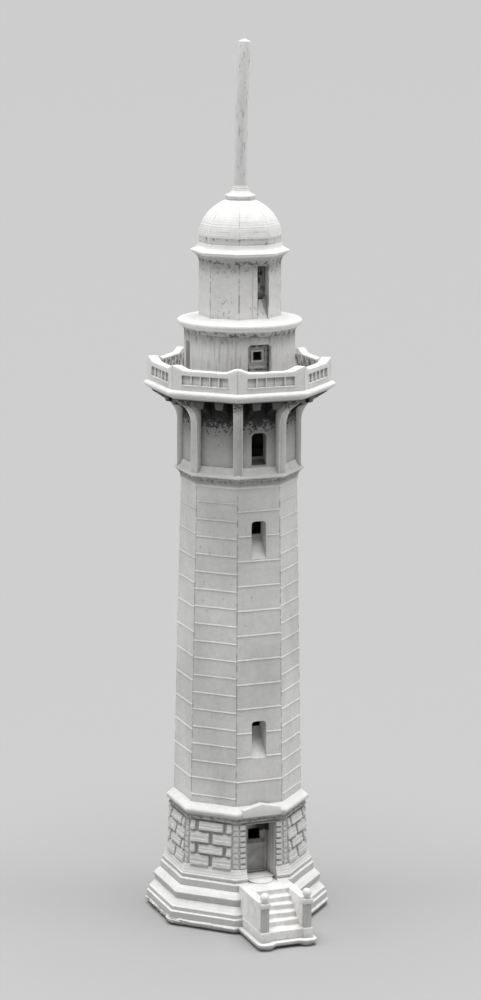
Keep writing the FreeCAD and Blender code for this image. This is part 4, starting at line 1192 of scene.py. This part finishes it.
def build_gallery(parapet, drum, door, roof):
    panels = ["parapet_panel_%d" % index for index in range(1, 9)]
    adopt("parapet_cast", parapet_mesh(), panels, parapet)
    softened("watch_room", drum, 0.06)
    softened("watch_room_door", door, 0.04)
    for name in ("left", "back", "right"):
        softened("watch_room_window_" + name, door, 0.03)
    outer = [(7.0, 81.16), (7.48, 81.18), (7.6, 81.6), (7.84, 81.9), (8.24, 82.14), (8.48, 82.5),
             (8.40, 82.8), (8.1, 82.94), (7.7, 83.0), (7.3, 82.94),
             (6.6, 83.0), (5.9, 83.08), (5.3, 83.3), (4.9, 83.3)]
    outline = moulding(outer, UPPER_BORE, 0.1, 0.25)
    mesh = mesh_of("round_cornice", round_mesh(outline, True, 0.04, 2.5, 9.0))
    adopt("round_cornice_cast", mesh, ["round_cornice"], roof)


# ---- lantern, dome and mast


def dome_outline():
    """Band at the foot, a small overhang, then the dome with faint uneven steps."""
    first, last = 0.1, math.acos(COLLAR_APOTHEM / DOME_APOTHEM)
    turns = [first + (last - first) * i / 60 for i in range(61)]
    curve = [(DOME_APOTHEM * math.cos(turn) + 0.03, DOME_SPRING + DOME_RISE * math.sin(turn))
             for turn in turns]
    out = [(5.1, 93.08), (5.1, 93.94), (5.13, 94.0), (5.2, 94.04)]
    for apothem, z in spaced(curve, 0.07):
        fade = share_of((97.8 - z) / 2.5)
        height = z / 0.31 + 0.4 * ripple(z * 0.7, 0, 0)
        tread = math.floor(height)
        depth = 0.055 * (0.4 + abs(ripple(tread * 1.7, 3, 0)) * 1.6)
        out.append((apothem + depth * fade * (0.5 - (height - tread)), z))
    return out


def lantern_mesh():
    """Lantern room with its tall opening, sloped foot, uneven back to its recess and shallow upright
    groove.
    """
    outline = spaced([(5.1, 83.1), (5.1, 90.6)], 0.5) + [(UPPER_BORE, 90.6), (UPPER_BORE, 83.1)]
    mesh = mesh_of("lantern_room", octagon_mesh(outline, True, seed=14.0))
    opening = []
    for x in (0.5, 2.05):
        opening.append([Vector((x, y, z)) for y, z in ((-6.0, 82.2), (-5.1, 83.12), (-3.8, 86.3),
                                                       (-3.0, 86.3), (-3.0, 90.35), (-6.0, 90.35))])
    groove = box_mesh(-0.24, -0.13, -6, -5.04, 83.4, 90.3)
    mesh = carved(mesh, [loft(opening, False), groove])
    back = box_mesh(0.3, 2.25, -3.75, -3.5, 85.9, 90.55)
    shaken(back, 0.1, 1.0, 15.0)
    return merged(mesh, mesh_of("recess", back))


def build_top(lantern, eaves, dome, trim, mast_material):
    adopt("lantern_room_cast", lantern_mesh(), ["lantern_room"], lantern)
    outer = [(4.8, 90.56), (5.12, 90.58), (5.22, 90.98), (5.46, 91.36), (6.06, 91.82), (6.23, 92.04),
             (6.06, 92.2), (5.72, 92.32), (5.42, 92.56), (5.26, 92.86), (5.2, 93.1), (4.9, 93.12)]
    moulded("lantern_cornice", moulding(outer, UPPER_BORE, 0.05, 0.18), True, eaves, "trim_resin",
            seed=10.0)
    outline = [(0.0, 93.08)] + dome_outline() + [(0.0, 98.79)]
    moulded("dome", outline, False, dome, "wall_resin", 0.3, CORNER_STATIONS, 0.02, 1.8, 11.0)
    outer = [(0.0, 98.7), (1.74, 98.72), (1.77, 99.05), (1.92, 99.2), (1.93, 99.34), (1.78, 99.46),
             (1.38, 99.64), (1.12, 99.95), (1.06, 100.06), (1.06, 100.2), (0.92, 100.27),
             (0.96, 100.34), (0.96, 100.45), (0.86, 100.5), (0.86, 100.66), (0.0, 100.66)]
    moulded("finial_collar", spaced(rounded(outer, 0.04), 0.12), False, trim, "trim_resin",
            amount=0.02, size=1.0, seed=12.0)
    softened("mast", mast_material, 0.04, 0.015, 13.0)


# ---- stage


def soft_sun(name, azimuth, elevation, strength, spread):
    """Distant soft box. Azimuth is measured from +X towards +Y, in degrees."""
    data = bpy.data.lights.new(name, "SUN")
    data.energy = strength
    data.angle = math.radians(spread)
    obj = linked(name, data)
    level, climb = math.radians(azimuth), math.radians(elevation)
    source = heading(level) * math.cos(climb) + Vector((0, 0, math.sin(climb)))
    obj.rotation_mode = "QUATERNION"
    obj.rotation_quaternion = source.to_track_quat("Z", "Y")


def pale_floor():
    bm = bmesh.new()
    bmesh.ops.create_grid(bm, x_segments=2, y_segments=2, size=40.0)
    mesh = bpy.data.meshes.new("floor")
    bm.to_mesh(mesh)
    bm.free()
    floor = linked("floor", mesh)
    f = Finish("floor_paper")
    mottle = f.node("TexNoise", Scale=3.0).outputs[0]
    grey = f.node("MapRange", Value=mottle, To_Min=0.37, To_Max=0.41).outputs[0]
    shader = f.node("BsdfPrincipled", Base_Color=grey, Roughness=0.9, Specular_IOR_Level=0.1)
    f.node("OutputMaterial", Surface=shader.outputs[0])
    mesh.materials.append(f.material)


def studio():
    soft_sun("top_box", 250, 88, 4.3, 60)
    soft_sun("left_box", 170, 25, 0.7, 40)
    soft_sun("right_box", 332, 25, 0.72, 40)
    world = bpy.data.worlds.new("studio")
    bpy.context.scene.world = world
    world.use_nodes = True
    background = world.node_tree.nodes["Background"]
    background.inputs["Color"].default_value = (0.9, 0.9, 0.9, 1)
    background.inputs["Strength"].default_value = 0.08
    bpy.context.scene.view_settings.view_transform = "Standard"


def camera():
    """Close three-quarter view from a little above, at the distance of a table-top shot."""
    azimuth, elevation, roll = (math.radians(a) for a in (-21.46, 11.51, 0.30))
    forward = -Vector((math.sin(azimuth) * math.cos(elevation),
                       -math.cos(azimuth) * math.cos(elevation), math.sin(elevation)))
    level_right = heading(azimuth)
    level_up = level_right.cross(forward)
    right = level_right * math.cos(roll) + level_up * math.sin(roll)
    up = level_up * math.cos(roll) - level_right * math.sin(roll)
    data = bpy.data.cameras.new("view")
    data.sensor_width = 36.0
    data.lens = 2.8225 * 36.0
    data.clip_start = 0.01
    obj = linked("view", data)
    placement = Matrix((right, up, -forward)).transposed().to_4x4()
    placement.translation = Vector((-137.8, -351.16, 134.63)) * MM
    obj.matrix_world = placement
    bpy.context.scene.camera = obj


# ---- assembly


pale_floor()
studio()
camera()

foot_resin = base_resin()
cheek_resin = plain_resin("cheek_resin", specks=0.15, gain=0.4)
trim_resin = plain_resin("trim_resin", specks=0.15, gain=0.3)
joinery = door_resin()

build_base(foot_resin)
build_plinth(foot_resin)
build_ground_storey(stone_resin(), cheek_resin, ground_cornice_resin(), joinery)
build_stairs(cheek_resin, stair_resin(), post_resin())
build_shaft(shaft_resin())
build_corbels(belt_resin(), corbel_resin(), pilaster_resin(), bracket_resin(), deck_resin())
build_gallery(parapet_resin(), drum_resin(), watch_door_resin(), roof_resin())
build_top(lantern_resin(), eaves_resin(), dome_resin(), trim_resin, mast_resin())
